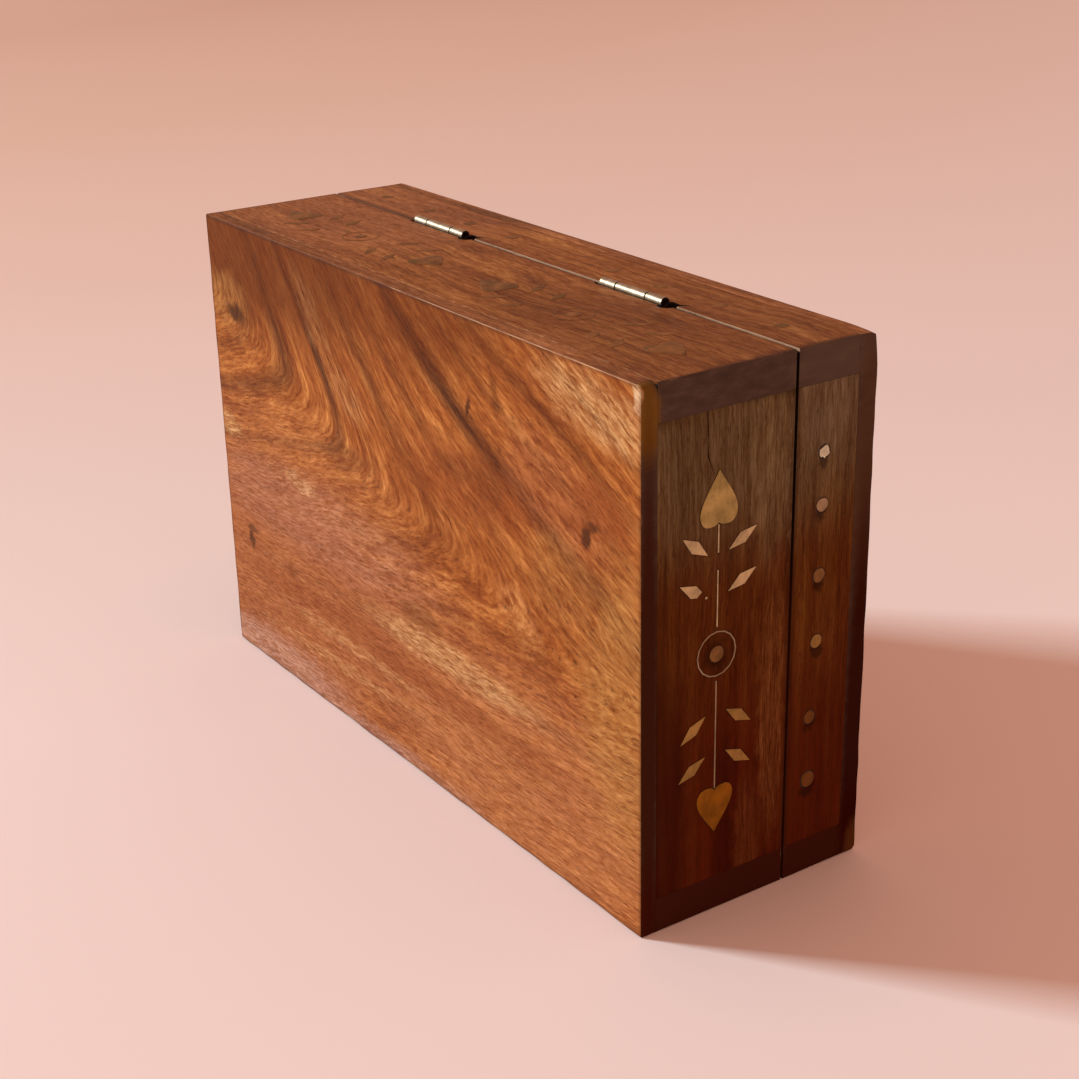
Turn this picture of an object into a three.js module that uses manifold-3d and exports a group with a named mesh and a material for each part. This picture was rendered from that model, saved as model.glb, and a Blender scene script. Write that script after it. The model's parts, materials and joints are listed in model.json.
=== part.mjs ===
// A small hardwood box with brass inlay, in millimetres, standing on its long front side.
// X runs along the length, Y from the bottom board towards the lid, and Z up, from the front side
// to the back side, where the two hinges are. The origin is the centre of the footprint.
import * as THREE from "three";
import { RoundedBoxGeometry } from "three/addons/geometries/RoundedBoxGeometry.js";
import { mergeVertices } from "three/addons/utils/BufferGeometryUtils.js";
import Module from "manifold-3d";

const wasm = await Module();
wasm.setup();

// Driving dimensions of the boards
const LENGTH = 195;
const HEIGHT = 127;
const BASE_DEPTH = 40.2;
const LID_DEPTH = 22.5;
const PARTING_GAP = 0.8;
const BOTTOM_BOARD = 4;
const TOP_BOARD = 5.4;
const LONG_WALL = 8.5;
const END_WALL = 8;
const GLUE_LINE = 0.05;
const EDGE_RADIUS = 0.4;
const LID_LONG_EDGE_RADIUS = 2; // the top board's two long edges are worn rounder
const WORN_CORNER_RADIUS = 2.6; // the bottom board's right corner on the hinged side

// Hinges: two small butt hinges, let into the rims at the back
const LEFT_HINGE_FROM_END = 56.2; // to the middle of the barrel
const RIGHT_HINGE_FROM_END = 56.1;
const OUTER_KNUCKLE_LEFT = 5.8;
const MIDDLE_KNUCKLE = 11;
const OUTER_KNUCKLE_RIGHT = 6;
const KNUCKLE_GAP = 0.25;
const BARREL_RADIUS = 1.25;
const AXIS_RISE = 0.25; // the pin's height above the back side
const PIN_RADIUS = 0.55;
const PIN_CLEARANCE = 0.06;
const PIN_INSET = 0.8; // from each end of the barrel
const LEAF_THICKNESS = 0.7;
const LEAF_TO_INSIDE = 2.3; // from the leaf's free edge to the wall's inner face
const LEAF_TOP_DROP = 0.5; // the flat of the leaf starts this far below the pin
const LEAF_GAP = 0.1; // between the two leaves when shut
const LEAF_INSET = 0.3; // the leaf is this much shorter than the barrel at each end
const LEAF_ROOM = 0.2; // around a leaf in its recess
const SEAT = 0.05; // behind a leaf or an inlay in its recess
const SCREW_HOLE_RADIUS = 1.1;
const SCREW_SPACING = 12;
const SCREW_FROM_EDGE = 2.4;
const KNUCKLE_ROOM = 0.15; // between a knuckle and the other leaf's notch
const GROOVE_ROOM = 0.35; // around the barrel in the wood
const GROOVE_PAST = 1.6; // how far the groove runs past the barrel at each end
const PIT_DEPTH = 3; // the rough pit that was chiselled out at the barrel's right end
// The pit's outline, and the tapering cut where the chisel ran on over the lid, from the barrel's end and the pin
const PIT_OUTLINE = [[-0.6, -2.3], [1.2, -2.7], [2.9, -1.8], [3.6, 0.4], [2.4, 2.2], [0.2, 2.6], [-0.6, 2.3]];
const SLIP_OUTLINE = [[2.2, 2.1], [3.2, 1.1], [4.8, 3.6]];
const SLIP_DEPTH = 0.9;

// Brass inlay
const INLAY_THICKNESS = 1;
const INLAY_PROUD = 0.05;
const INLAY_ROOM = 0.13; // around an inlay in its pocket
const HEART_WIDTH = 10;
const UPPER_HEART = { length: 12.3, tipMargin: 13.2, notch: 0.8 };
const LOWER_HEART = { length: 11.3, tipMargin: 11.6, notch: 1 };
const WIRE = 0.4;
const WIRE_TO_HEART = 0.5;
const WIRE_TO_RING = 0.9;
const RING_RADIUS = 5.2; // to the middle of its wire
const CENTRE_DISC_RADIUS = 1.9;
const LEAF_LENGTH = 8.6;
const LEAF_BREADTH = 2.9;
const LEAF_FROM_STEM = 2.8;
// Angles of the leaves above or below the level, by hand as the maker set them: [left, right] for each pair,
// from the heart inwards, with each pair's place as a share of the way from the heart's notch to the ring.
const UPPER_LEAVES = [
  { share: 0.28, angles: [38, 27] },
  { share: 0.66, angles: [30, 26] },
];
const LOWER_LEAVES = [
  { share: 0.33, angles: [31, 34] },
  { share: 0.69, angles: [37, 34] },
];
const DOT_LINE = 7.4; // from the lid's rim to the row of dots
const DOT_MARGIN = 15.6; // from the end board's ends to the outer dots
const DOT_RADII = [1.65, 1.7, 1.75, 1.7, 1.7, 2.1];
const DOT_DRIFT = [0, 3.6, 2.9, 2.8, 0.1, 0]; // how far above its even place each dot sits
const DOT_SWAY = [0.5, 0.4, 0.2, 0.1, -1.1, -1]; // and how far towards the top board

// Damage on the right end: a wire with a stretch lost, a leaf with its tip broken off, a split in the board
const LOST_WIRE_START = 7;
const LOST_WIRE = 3.8;
const LEAF_LOSS = 2.1;
const CHIP_RADIUS = 0.3;
const SPLIT_WIDTH = 0.35;
const SPLIT_DEPTH = 2;

// Places that follow
const DEPTH = BASE_DEPTH + PARTING_GAP + LID_DEPTH;
const BOTTOM_Y = -DEPTH / 2;
const TOP_Y = DEPTH / 2;
const BASE_RIM_Y = BOTTOM_Y + BASE_DEPTH;
const LID_RIM_Y = BASE_RIM_Y + PARTING_GAP;
const PARTING_Y = (BASE_RIM_Y + LID_RIM_Y) / 2;
const AXIS_Z = HEIGHT + AXIS_RISE;
const LEAF_FREE_EDGE_Z = HEIGHT - LONG_WALL + LEAF_TO_INSIDE;
const BARREL = OUTER_KNUCKLE_LEFT + MIDDLE_KNUCKLE + OUTER_KNUCKLE_RIGHT + 2 * KNUCKLE_GAP;
const MIDDLE_Z = HEIGHT / 2;
const END_BOARD_HALF = MIDDLE_Z - LONG_WALL - GLUE_LINE;
const MOTIF_Y = BOTTOM_Y + BASE_DEPTH / 2;
const ROUND_SIDES = 32;
const HEART_CURVE_SIDES = 7;
const SHARPEST_MITRE = 3;
const OVERCUT = 1; // how far a cutter runs past the surface that it cuts

const sheesham = new THREE.MeshStandardMaterial({ color: 0x9a5a30, roughness: 0.5, metalness: 0 });
const darkSheesham = new THREE.MeshStandardMaterial({ color: 0x5a3320, roughness: 0.5, metalness: 0 });
const brass = new THREE.MeshStandardMaterial({ color: 0xc0985c, roughness: 0.35, metalness: 1 });
const steel = new THREE.MeshStandardMaterial({ color: 0xcfcbc2, roughness: 0.3, metalness: 1 });

// Solids: three.js makes every shape, and the kernel only joins and cuts
function solid(geometry) {
  const bare = geometry.clone();
  bare.deleteAttribute("normal");
  bare.deleteAttribute("uv");
  const merged = mergeVertices(bare, 1e-4);
  return new wasm.Manifold(
    new wasm.Mesh({
      numProp: 3,
      vertProperties: merged.attributes.position.array,
      triVerts: new Uint32Array(merged.index.array),
    }),
  );
}

function geometryOf(body) {
  const mesh = body.getMesh();
  const geometry = new THREE.BufferGeometry();
  geometry.setAttribute("position", new THREE.BufferAttribute(mesh.vertProperties, 3));
  geometry.setIndex(new THREE.BufferAttribute(mesh.triVerts, 1));
  const flat = geometry.toNonIndexed();
  flat.computeVertexNormals();
  return flat;
}

function named(name, geometry, material) {
  const mesh = new THREE.Mesh(geometry, material);
  mesh.name = name;
  return mesh;
}

function block([x0, x1], [y0, y1], [z0, z1]) {
  const box = new THREE.BoxGeometry(x1 - x0, y1 - y0, z1 - z0);
  return box.translate((x0 + x1) / 2, (y0 + y1) / 2, (z0 + z1) / 2);
}

function rod(radius, x0, x1, y, z) {
  const cylinder = new THREE.CylinderGeometry(radius, radius, x1 - x0, ROUND_SIDES);
  return cylinder.rotateZ(Math.PI / 2).translate((x0 + x1) / 2, y, z);
}

// The closed outside of the base or the lid, with its edges eased. It runs on past the rim, which stays square.
function outside(yFace, yRim, radius, length = LENGTH) {
  const past = Math.sign(yRim - yFace) * 4 * radius;
  const [y0, y1] = [yFace, yRim + past].sort((a, b) => a - b);
  const box = new RoundedBoxGeometry(length, y1 - y0, HEIGHT, 3, radius);
  return solid(box.translate(0, (y0 + y1) / 2, MIDDLE_Z));
}

const BASE_OUTSIDE = outside(BOTTOM_Y, BASE_RIM_Y, EDGE_RADIUS);
const LONG_EDGES_ROUNDED = outside(TOP_Y, LID_RIM_Y, LID_LONG_EDGE_RADIUS, 2 * LENGTH);
const LID_OUTSIDE = outside(TOP_Y, LID_RIM_Y, EDGE_RADIUS).intersect(LONG_EDGES_ROUNDED);

// One tray of five boards: the face board covers the frame, and the long walls run past the end boards
function trayBoards(faceY, faceInnerY, rimY) {
  const side = Math.sign(rimY - faceY);
  const wallY = [faceInnerY + side * GLUE_LINE, rimY].sort((a, b) => a - b);
  const fullX = [-LENGTH / 2, LENGTH / 2];
  const endZ = [LONG_WALL + GLUE_LINE, HEIGHT - LONG_WALL - GLUE_LINE];
  return {
    face: block(fullX, [faceY, faceInnerY].sort((a, b) => a - b), [0, HEIGHT]),
    front: block(fullX, wallY, [0, LONG_WALL]),
    back: block(fullX, wallY, [HEIGHT - LONG_WALL, HEIGHT]),
    rightEnd: block([LENGTH / 2 - END_WALL, LENGTH / 2], wallY, endZ),
    leftEnd: block([-LENGTH / 2, -LENGTH / 2 + END_WALL], wallY, endZ),
  };
}

// What years of handling took off a corner, seen from the bottom board's face
function wornCorner() {
  const radius = WORN_CORNER_RADIUS;
  const [x, z] = [LENGTH / 2 - radius, HEIGHT - radius];
  const y = [BOTTOM_Y - OVERCUT, BOTTOM_Y + BOTTOM_BOARD + OVERCUT];
  const kept = new THREE.CylinderGeometry(radius, radius, y[1] - y[0] + OVERCUT, ROUND_SIDES);
  const corner = solid(block([x, x + radius + OVERCUT], y, [z, z + radius + OVERCUT]));
  return corner.subtract(solid(kept.translate(x, (y[0] + y[1]) / 2, z)));
}

// Hinges
function hingeStations(centreX) {
  const left = centreX - BARREL / 2;
  const right = centreX + BARREL / 2;
  const middleLeft = left + OUTER_KNUCKLE_LEFT + KNUCKLE_GAP;
  return { left, right, middleLeft, middleRight: middleLeft + MIDDLE_KNUCKLE };
}

function screwHoles(centreX, y) {
  return [-1, 1].map((side) => {
    const hole = new THREE.CylinderGeometry(SCREW_HOLE_RADIUS, SCREW_HOLE_RADIUS, 4 * LEAF_THICKNESS, 16);
    return solid(hole.translate(centreX + (side * SCREW_SPACING) / 2, y, LEAF_FREE_EDGE_Z + SCREW_FROM_EDGE));
  });
}

// A leaf is on the base's side of the parting plane (-1) or the lid's (1). The base's carries the outer knuckles.
function hingeLeaf(centreX, side) {
  const at = hingeStations(centreX);
  const inner = PARTING_Y + (side * LEAF_GAP) / 2;
  const outer = inner + side * LEAF_THICKNESS;
  const y = [inner, outer].sort((a, b) => a - b);
  const x = [at.left + LEAF_INSET, at.right - LEAF_INSET];
  const outerKnuckles = [
    [at.left, at.middleLeft - KNUCKLE_GAP],
    [at.middleRight + KNUCKLE_GAP, at.right],
  ];
  const middleKnuckle = [[at.middleLeft, at.middleRight]];
  const own = side < 0 ? outerKnuckles : middleKnuckle;
  const others = side < 0 ? middleKnuckle : outerKnuckles;
  let leaf = solid(block(x, y, [LEAF_FREE_EDGE_Z, AXIS_Z - LEAF_TOP_DROP]));
  for (const [x0, x1] of others) {
    const notch = rod(BARREL_RADIUS + KNUCKLE_ROOM, x0 - KNUCKLE_GAP, x1 + KNUCKLE_GAP, PARTING_Y, AXIS_Z);
    leaf = leaf.subtract(solid(notch));
  }
  for (const [x0, x1] of own) leaf = leaf.add(solid(rod(BARREL_RADIUS, x0, x1, PARTING_Y, AXIS_Z)));
  const boreEnds = [at.left - OVERCUT, at.right + OVERCUT];
  leaf = leaf.subtract(solid(rod(PIN_RADIUS + PIN_CLEARANCE, ...boreEnds, PARTING_Y, AXIS_Z)));
  for (const hole of screwHoles(centreX, (inner + outer) / 2)) leaf = leaf.subtract(hole);
  return leaf;
}

function hingePin(centreX) {
  const at = hingeStations(centreX);
  return rod(PIN_RADIUS, at.left + PIN_INSET, at.right - PIN_INSET, PARTING_Y, AXIS_Z);
}

// What a hinge takes out of both back boards: a round groove for the barrel, a shallow recess for each leaf,
// and the marks of a rough chisel
function hingeCutters(centreX) {
  const at = hingeStations(centreX);
  const groove = rod(BARREL_RADIUS + GROOVE_ROOM, at.left - GROOVE_PAST, at.right + GROOVE_PAST, PARTING_Y, AXIS_Z);
  const reach = LEAF_GAP / 2 + LEAF_THICKNESS + SEAT;
  const x = [at.left + LEAF_INSET - LEAF_ROOM, at.right - LEAF_INSET + LEAF_ROOM];
  const z = [LEAF_FREE_EDGE_Z - LEAF_ROOM, HEIGHT + OVERCUT];
  const recess = block(x, [PARTING_Y - reach, PARTING_Y + reach], z);
  const pit = chiselled(PIT_OUTLINE, at.right, PIT_DEPTH);
  const slip = chiselled(SLIP_OUTLINE, at.right, SLIP_DEPTH);
  return [groove, recess, pit, slip].map(solid);
}

// A cut straight down from the back side, with its outline placed from a barrel's end
function chiselled(outline, x, depth) {
  const prism = new THREE.ExtrudeGeometry(new THREE.Shape(points(...outline)), {
    depth: depth + OVERCUT, bevelEnabled: false,
  });
  return prism.translate(x, PARTING_Y, HEIGHT - depth);
}

// Inlay outlines, drawn flat and counter-clockwise: the first axis becomes Y and the second Z
function heart(width, length, notch) {
  const shape = new THREE.Shape();
  const half = [
    [[0.04, 0.01], [0.14, 0], [0.26, 0]],
    [[0.4, 0], [0.5, 0.1], [0.5, 0.24]],
    [[0.5, 0.47], [0.16, 0.78], [0, 1]],
  ];
  shape.moveTo(0, notch);
  for (const controls of half) shape.bezierCurveTo(...controls.flatMap(([a, b]) => [a * width, b * length]));
  const right = shape.getPoints(HEART_CURVE_SIDES);
  const left = right.slice(1, -1).map(({ x, y }) => new THREE.Vector2(-x, y));
  return [...right, ...left.reverse()];
}

function points(...pairs) {
  return pairs.map(([a, b]) => new THREE.Vector2(a, b));
}

// A rhombus with its stem end at the origin. A broken one has lost that end, and stops at a slanting stump.
function leafOutline(length, breadth, lost = 0) {
  const half = breadth / 2;
  const tips = points([length / 2, -half], [length, 0], [length / 2, half]);
  if (!lost) return [new THREE.Vector2(0, 0), ...tips];
  const rise = (lost / (length / 2)) * half;
  return [...points([1.3 * lost, 1.3 * rise], [lost, -rise]), ...tips];
}

function bar(width, b0, b1) {
  return points([-width / 2, b0], [width / 2, b0], [width / 2, b1], [-width / 2, b1]);
}

// Moves every side of an outline out by the same room. Sharp tips are held back from running on.
function widened(outline, room) {
  const count = outline.length;
  const moved = outline.map((point, i) => {
    const arriving = point.clone().sub(outline[(i + count - 1) % count]).normalize();
    const leaving = outline[(i + 1) % count].clone().sub(point).normalize();
    const along = arriving.add(leaving).normalize();
    const share = Math.abs(along.dot(leaving));
    const reach = Math.min(room / share, SHARPEST_MITRE * room);
    return new THREE.Vector2(point.x + along.y * reach, point.y - along.x * reach);
  });
  return new THREE.Shape(moved);
}

function disc(radius) {
  return new THREE.Shape().absarc(0, 0, radius, 0, 2 * Math.PI, false);
}

function ring(inner, outer) {
  const shape = disc(outer);
  shape.holes.push(new THREE.Path().absarc(0, 0, inner, 0, 2 * Math.PI, true));
  return shape;
}

// Stands an outline up on the right end: its plane becomes YZ, and it is as thick as asked below the surface
function onEnd(shape, a, b, turn, below, above) {
  const geometry = new THREE.ExtrudeGeometry(shape, {
    depth: below + above, bevelEnabled: false, curveSegments: ROUND_SIDES / 4,
  });
  geometry.rotateZ(turn).translate(a, b, -below);
  const toEnd = new THREE.Matrix4().makeBasis(
    new THREE.Vector3(0, 1, 0), new THREE.Vector3(0, 0, 1), new THREE.Vector3(1, 0, 0),
  );
  return geometry.applyMatrix4(toEnd).translate(LENGTH / 2, 0, 0);
}

// An inlay is a thin plate and the pocket that it sits in. outline(room) draws it with its sides moved out.
function inlay(name, outline, a, b, turn = 0) {
  return {
    name,
    plate: onEnd(outline(0), a, b, turn, INLAY_THICKNESS - INLAY_PROUD, INLAY_PROUD),
    pocket: onEnd(outline(INLAY_ROOM), a, b, turn, INLAY_THICKNESS - INLAY_PROUD + SEAT, OVERCUT),
  };
}

// One half of the motif, from the ring out to its heart. up is 1 above the ring and -1 below it.
function halfMotif(label, up, spec, leaves, worn) {
  const tip = END_BOARD_HALF - spec.tipMargin;
  const lobes = tip - spec.length;
  const notch = lobes + spec.notch;
  const ringEdge = RING_RADIUS + WIRE / 2;
  const place = (b) => MIDDLE_Z + up * b;
  const turn = up > 0 ? 0 : Math.PI;
  const pieces = [];
  pieces.push(inlay(
    `${label}_heart`,
    (room) => widened(heart(HEART_WIDTH, spec.length, spec.notch), room),
    MOTIF_Y, place(lobes), turn,
  ));
  const wireEnds = [notch - WIRE_TO_HEART, ringEdge + WIRE_TO_RING];
  const stretches = worn
    ? [[wireEnds[0], notch - LOST_WIRE_START], [notch - LOST_WIRE_START - LOST_WIRE, wireEnds[1]]]
    : [wireEnds];
  stretches.forEach(([outer, inner], i) => {
    const suffix = stretches.length > 1 ? `_${i + 1}` : "";
    const outline = (room) => widened(bar(WIRE, inner, outer), room);
    pieces.push(inlay(`${label}_stem${suffix}`, outline, MOTIF_Y, MIDDLE_Z, turn));
  });
  leaves.forEach(({ share, angles }, i) => {
    const foot = notch - share * (notch - ringEdge);
    angles.forEach((degrees, k) => {
      const side = k ? 1 : -1;
      const angle = THREE.MathUtils.degToRad(degrees);
      const heading = Math.atan2(up * Math.sin(angle), side * Math.cos(angle));
      const broken = worn && i === 1 && k === 0;
      const name = `${label}_${k ? "right" : "left"}_leaf_${i + 1}`;
      const outline = (room) => widened(leafOutline(LEAF_LENGTH, LEAF_BREADTH, broken ? LEAF_LOSS : 0), room);
      pieces.push(inlay(name, outline, MOTIF_Y + side * LEAF_FROM_STEM, place(foot), heading));
      if (broken) {
        const chipAt = MOTIF_Y + side * (LEAF_FROM_STEM + CHIP_RADIUS);
        pieces.push(inlay(`${name}_chip`, (room) => disc(CHIP_RADIUS + room), chipAt, place(foot)));
      }
    });
  });
  return pieces;
}

function motif(worn) {
  const ringOutline = (room) => ring(RING_RADIUS - WIRE / 2 - room, RING_RADIUS + WIRE / 2 + room);
  return [
    ...halfMotif("upper", 1, UPPER_HEART, UPPER_LEAVES, worn),
    inlay("ring", ringOutline, MOTIF_Y, MIDDLE_Z),
    inlay("centre_disc", (room) => disc(CENTRE_DISC_RADIUS + room), MOTIF_Y, MIDDLE_Z),
    ...halfMotif("lower", -1, LOWER_HEART, LOWER_LEAVES, false),
  ];
}

function dotRow() {
  const first = END_BOARD_HALF - DOT_MARGIN;
  const pitch = (2 * first) / (DOT_RADII.length - 1);
  return DOT_RADII.map((radius, i) => {
    const z = MIDDLE_Z + first - pitch * i + DOT_DRIFT[i];
    return inlay(`dot_${i + 1}`, (room) => disc(radius + room), LID_RIM_Y + DOT_LINE + DOT_SWAY[i], z);
  });
}

// The split runs down from the end board's top edge to the upper heart's tip
function split() {
  const top = END_BOARD_HALF;
  const bottom = END_BOARD_HALF - UPPER_HEART.tipMargin - 0.9;
  const bend = bottom + 0.3 * (top - bottom);
  const lean = [3.3, 3, 1.3];
  const line = [[-lean[0], top + OVERCUT], [-lean[1], bend], [-lean[2], bottom]];
  const widths = [SPLIT_WIDTH, SPLIT_WIDTH, SPLIT_WIDTH / 2];
  const left = line.map(([a, b], i) => [a - widths[i] / 2, b]);
  const right = line.map(([a, b], i) => [a + widths[i] / 2, b]).reverse();
  const outline = new THREE.Shape(points(...left, ...right));
  return onEnd(outline, MOTIF_Y, MIDDLE_Z, 0, SPLIT_DEPTH, OVERCUT);
}

function withPockets(board, inlays) {
  return inlays.reduce((left, { pocket }) => left.subtract(solid(pocket)), board);
}

function inlayMeshes(prefix, inlays) {
  return inlays.map(({ name, plate }) => named(`${prefix}_${name}`, plate, brass));
}

// The left end is the right one's mirror image, so it is built on the right and turned over by its group's scale
function endGroup(side, bodyName, blank, outsideSolid, inlays, extraCut) {
  const group = new THREE.Group();
  let board = withPockets(solid(blank).intersect(outsideSolid), inlays);
  if (extraCut) board = board.subtract(solid(extraCut));
  group.add(named(`${bodyName}_${side}_end_board`, geometryOf(board), darkSheesham));
  group.add(...inlayMeshes(`${side}_${bodyName}`, inlays));
  if (side === "left") group.scale.x = -1;
  return group;
}

function buildBase() {
  const boards = trayBoards(BOTTOM_Y, BOTTOM_Y + BOTTOM_BOARD, BASE_RIM_Y);
  const base = new THREE.Group();
  let back = solid(boards.back).intersect(BASE_OUTSIDE);
  for (const cutter of HINGE_CUTTERS) back = back.subtract(cutter);
  const bottom = solid(boards.face).intersect(BASE_OUTSIDE).subtract(wornCorner());
  base.add(named("base_bottom_board", geometryOf(bottom), sheesham));
  base.add(named("base_front_board", geometryOf(solid(boards.front).intersect(BASE_OUTSIDE)), sheesham));
  base.add(named("base_back_board", geometryOf(back), sheesham));
  base.add(endGroup("right", "base", boards.rightEnd, BASE_OUTSIDE, motif(true), split()));
  base.add(endGroup("left", "base", boards.rightEnd, BASE_OUTSIDE, motif(false)));
  return base;
}

function buildLid() {
  const boards = trayBoards(TOP_Y, TOP_Y - TOP_BOARD, LID_RIM_Y);
  const lid = new THREE.Group();
  let back = solid(boards.back).intersect(LID_OUTSIDE);
  for (const cutter of HINGE_CUTTERS) back = back.subtract(cutter);
  lid.add(named("lid_top_board", geometryOf(solid(boards.face).intersect(LID_OUTSIDE)), sheesham));
  lid.add(named("lid_front_board", geometryOf(solid(boards.front).intersect(LID_OUTSIDE)), sheesham));
  lid.add(named("lid_back_board", geometryOf(back), sheesham));
  lid.add(endGroup("right", "lid", boards.rightEnd, LID_OUTSIDE, dotRow()));
  lid.add(endGroup("left", "lid", boards.rightEnd, LID_OUTSIDE, dotRow()));
  return lid;
}

const HINGES = [
  { name: "left_hinge", x: -LENGTH / 2 + LEFT_HINGE_FROM_END },
  { name: "right_hinge", x: LENGTH / 2 - RIGHT_HINGE_FROM_END },
];
const HINGE_CUTTERS = HINGES.flatMap(({ x }) => hingeCutters(x));

const box = new THREE.Group();
box.add(buildBase());
box.add(buildLid());
for (const { name, x } of HINGES) {
  box.add(named(`${name}_base_leaf`, geometryOf(hingeLeaf(x, -1)), steel));
  box.add(named(`${name}_lid_leaf`, geometryOf(hingeLeaf(x, 1)), steel));
  box.add(named(`${name}_pin`, hingePin(x), steel));
}

export default box;
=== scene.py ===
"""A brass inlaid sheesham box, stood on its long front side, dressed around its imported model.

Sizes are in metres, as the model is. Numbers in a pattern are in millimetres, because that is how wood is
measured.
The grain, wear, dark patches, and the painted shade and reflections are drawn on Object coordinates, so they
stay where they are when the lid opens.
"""

import json
import math

import bmesh
import bpy
from bpy.props import FloatProperty, FloatVectorProperty, PointerProperty
from bpy.types import Operator, Panel, PropertyGroup
from mathutils import Matrix, Vector, noise


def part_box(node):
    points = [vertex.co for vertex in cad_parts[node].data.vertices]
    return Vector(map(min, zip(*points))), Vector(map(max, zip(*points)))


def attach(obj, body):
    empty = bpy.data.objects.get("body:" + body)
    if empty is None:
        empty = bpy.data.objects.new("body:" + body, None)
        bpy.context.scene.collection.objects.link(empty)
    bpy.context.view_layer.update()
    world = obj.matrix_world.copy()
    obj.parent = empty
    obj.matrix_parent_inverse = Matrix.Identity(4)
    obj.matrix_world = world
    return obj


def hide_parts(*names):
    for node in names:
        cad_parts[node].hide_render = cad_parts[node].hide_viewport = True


bl_info = {
    "name": "Brass Inlaid Box",
    "version": (1, 0, 0),
    "blender": (4, 5, 0),
    "location": "View3D > Sidebar > Inlaid Box",
    "description": "Dresses a hinged sheesham box with brass inlay: worn boards, inlay, hinges and stage",
    "category": "Object",
}

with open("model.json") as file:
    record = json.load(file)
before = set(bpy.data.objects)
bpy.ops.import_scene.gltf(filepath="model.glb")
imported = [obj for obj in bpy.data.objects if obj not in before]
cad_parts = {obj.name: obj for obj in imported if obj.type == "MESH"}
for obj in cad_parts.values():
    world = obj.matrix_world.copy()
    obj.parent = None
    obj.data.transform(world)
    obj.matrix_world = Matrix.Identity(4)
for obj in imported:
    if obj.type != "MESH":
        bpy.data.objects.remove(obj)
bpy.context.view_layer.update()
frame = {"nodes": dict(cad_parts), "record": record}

MM = 0.001

# What the frame says
SHELL_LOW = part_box("base_bottom_board")[0]
SHELL_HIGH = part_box("lid_top_board")[1]
SHELL_CENTRE = (SHELL_LOW + SHELL_HIGH) / 2
SHELL_HALF = (SHELL_HIGH - SHELL_LOW) / 2
BASE_RIM_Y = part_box("base_front_board")[1].y
LID_RIM_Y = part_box("lid_front_board")[0].y
PARTING_Y = (BASE_RIM_Y + LID_RIM_Y) / 2
HALF_GAP = (LID_RIM_Y - BASE_RIM_Y) / 2
LENGTH_MM = (SHELL_HIGH.x - SHELL_LOW.x) / MM
HEIGHT_MM = (SHELL_HIGH.z - SHELL_LOW.z) / MM

LONG_BOARDS = {
    "base": ["base_front_board", "base_back_board"],
    "lid": ["lid_front_board", "lid_back_board"],
}
END_BOARDS = {
    "base": ["base_left_end_board", "base_right_end_board"],
    "lid": ["lid_left_end_board", "lid_right_end_board"],
}
HINGE_BOXES = [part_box(f"{side}_hinge_base_leaf") for side in ("left", "right")]
BODIES = frame["record"]["behaviour"]["bodies"]
INLAYS = {
    body: [node for node in nodes if node.startswith((f"right_{body}_", f"left_{body}_"))]
    for body, nodes in BODIES.items()
}

# Corners of the model's loose triangles that lie closer than this are one
WELD = 0.002 * MM
# A point closer than this to a plane of the box lies in it
IN_PLANE = 0.05 * MM


# Small helpers

def srgb(text):
    """A colour written as sRGB hex, as the linear values that shaders use"""
    channels = [int(text[i:i + 2], 16) / 255 for i in (1, 3, 5)]
    linear = [c / 12.92 if c <= 0.04045 else ((c + 0.055) / 1.055) ** 2.4 for c in channels]
    return (*linear, 1.0)


def set_stops(elements, stops):
    """Sets a colour ramp's stops. Each is a place with an sRGB hex, a linear colour or a grey."""
    while len(elements) < len(stops):
        elements.new(0.5)
    for element, (place, tone) in zip(elements, stops):
        if isinstance(tone, str):
            tone = srgb(tone)
        elif isinstance(tone, float):
            tone = (tone, tone, tone, 1.0)
        element.position = place
        element.color = tone


def add(tree, kind, sockets=None, stops=(), **settings):
    """Adds a node with its settings, and a colour ramp with its stops. A socket's value is a number, a
    colour, or what feeds it: a socket, or a node, which stands for its first output."""
    node = tree.nodes.new("ShaderNode" + kind)
    for name, value in settings.items():
        setattr(node, name, value)
    for key, value in (sockets or {}).items():
        into = node.inputs[key] if isinstance(key, int) else next(
            socket for socket in node.inputs if socket.name == key and socket.enabled)
        if isinstance(value, bpy.types.Node):
            value = next(socket for socket in value.outputs if socket.enabled)
        if isinstance(value, bpy.types.NodeSocket):
            tree.links.new(value, into)
        else:
            into.default_value = value
    if stops:
        set_stops(node.color_ramp.elements, stops)
    return node


def new_material(name):
    """A material without nodes, and its node tree"""
    material = bpy.data.materials.new(name)
    material.use_nodes = True
    material.node_tree.nodes.clear()
    return material, material.node_tree


def spots(tree, place, marks):
    """One mask for several soft oval spots. Each mark is (centre, radii, turn in degrees, strength)."""
    total = None
    for centre, radii, turn, strength in marks:
        near = add(
            tree, "Mapping",
            {"Vector": place, "Location": centre, "Rotation": (0, math.radians(turn), 0), "Scale": radii},
            vector_type="TEXTURE")
        ball = add(tree, "TexGradient", {"Vector": near}, gradient_type="SPHERICAL")
        soft = add(
            tree, "MapRange", {"Value": ball.outputs["Fac"], "From Max": 0.6, "To Max": strength},
            interpolation_type="SMOOTHSTEP")
        total = soft if total is None else add(tree, "Math", {0: total, 1: soft}, operation="MAXIMUM")
    return total


def linked(name, data):
    """A new object, put in the scene"""
    thing = bpy.data.objects.new(name, data)
    bpy.context.scene.collection.objects.link(thing)
    return thing


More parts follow.
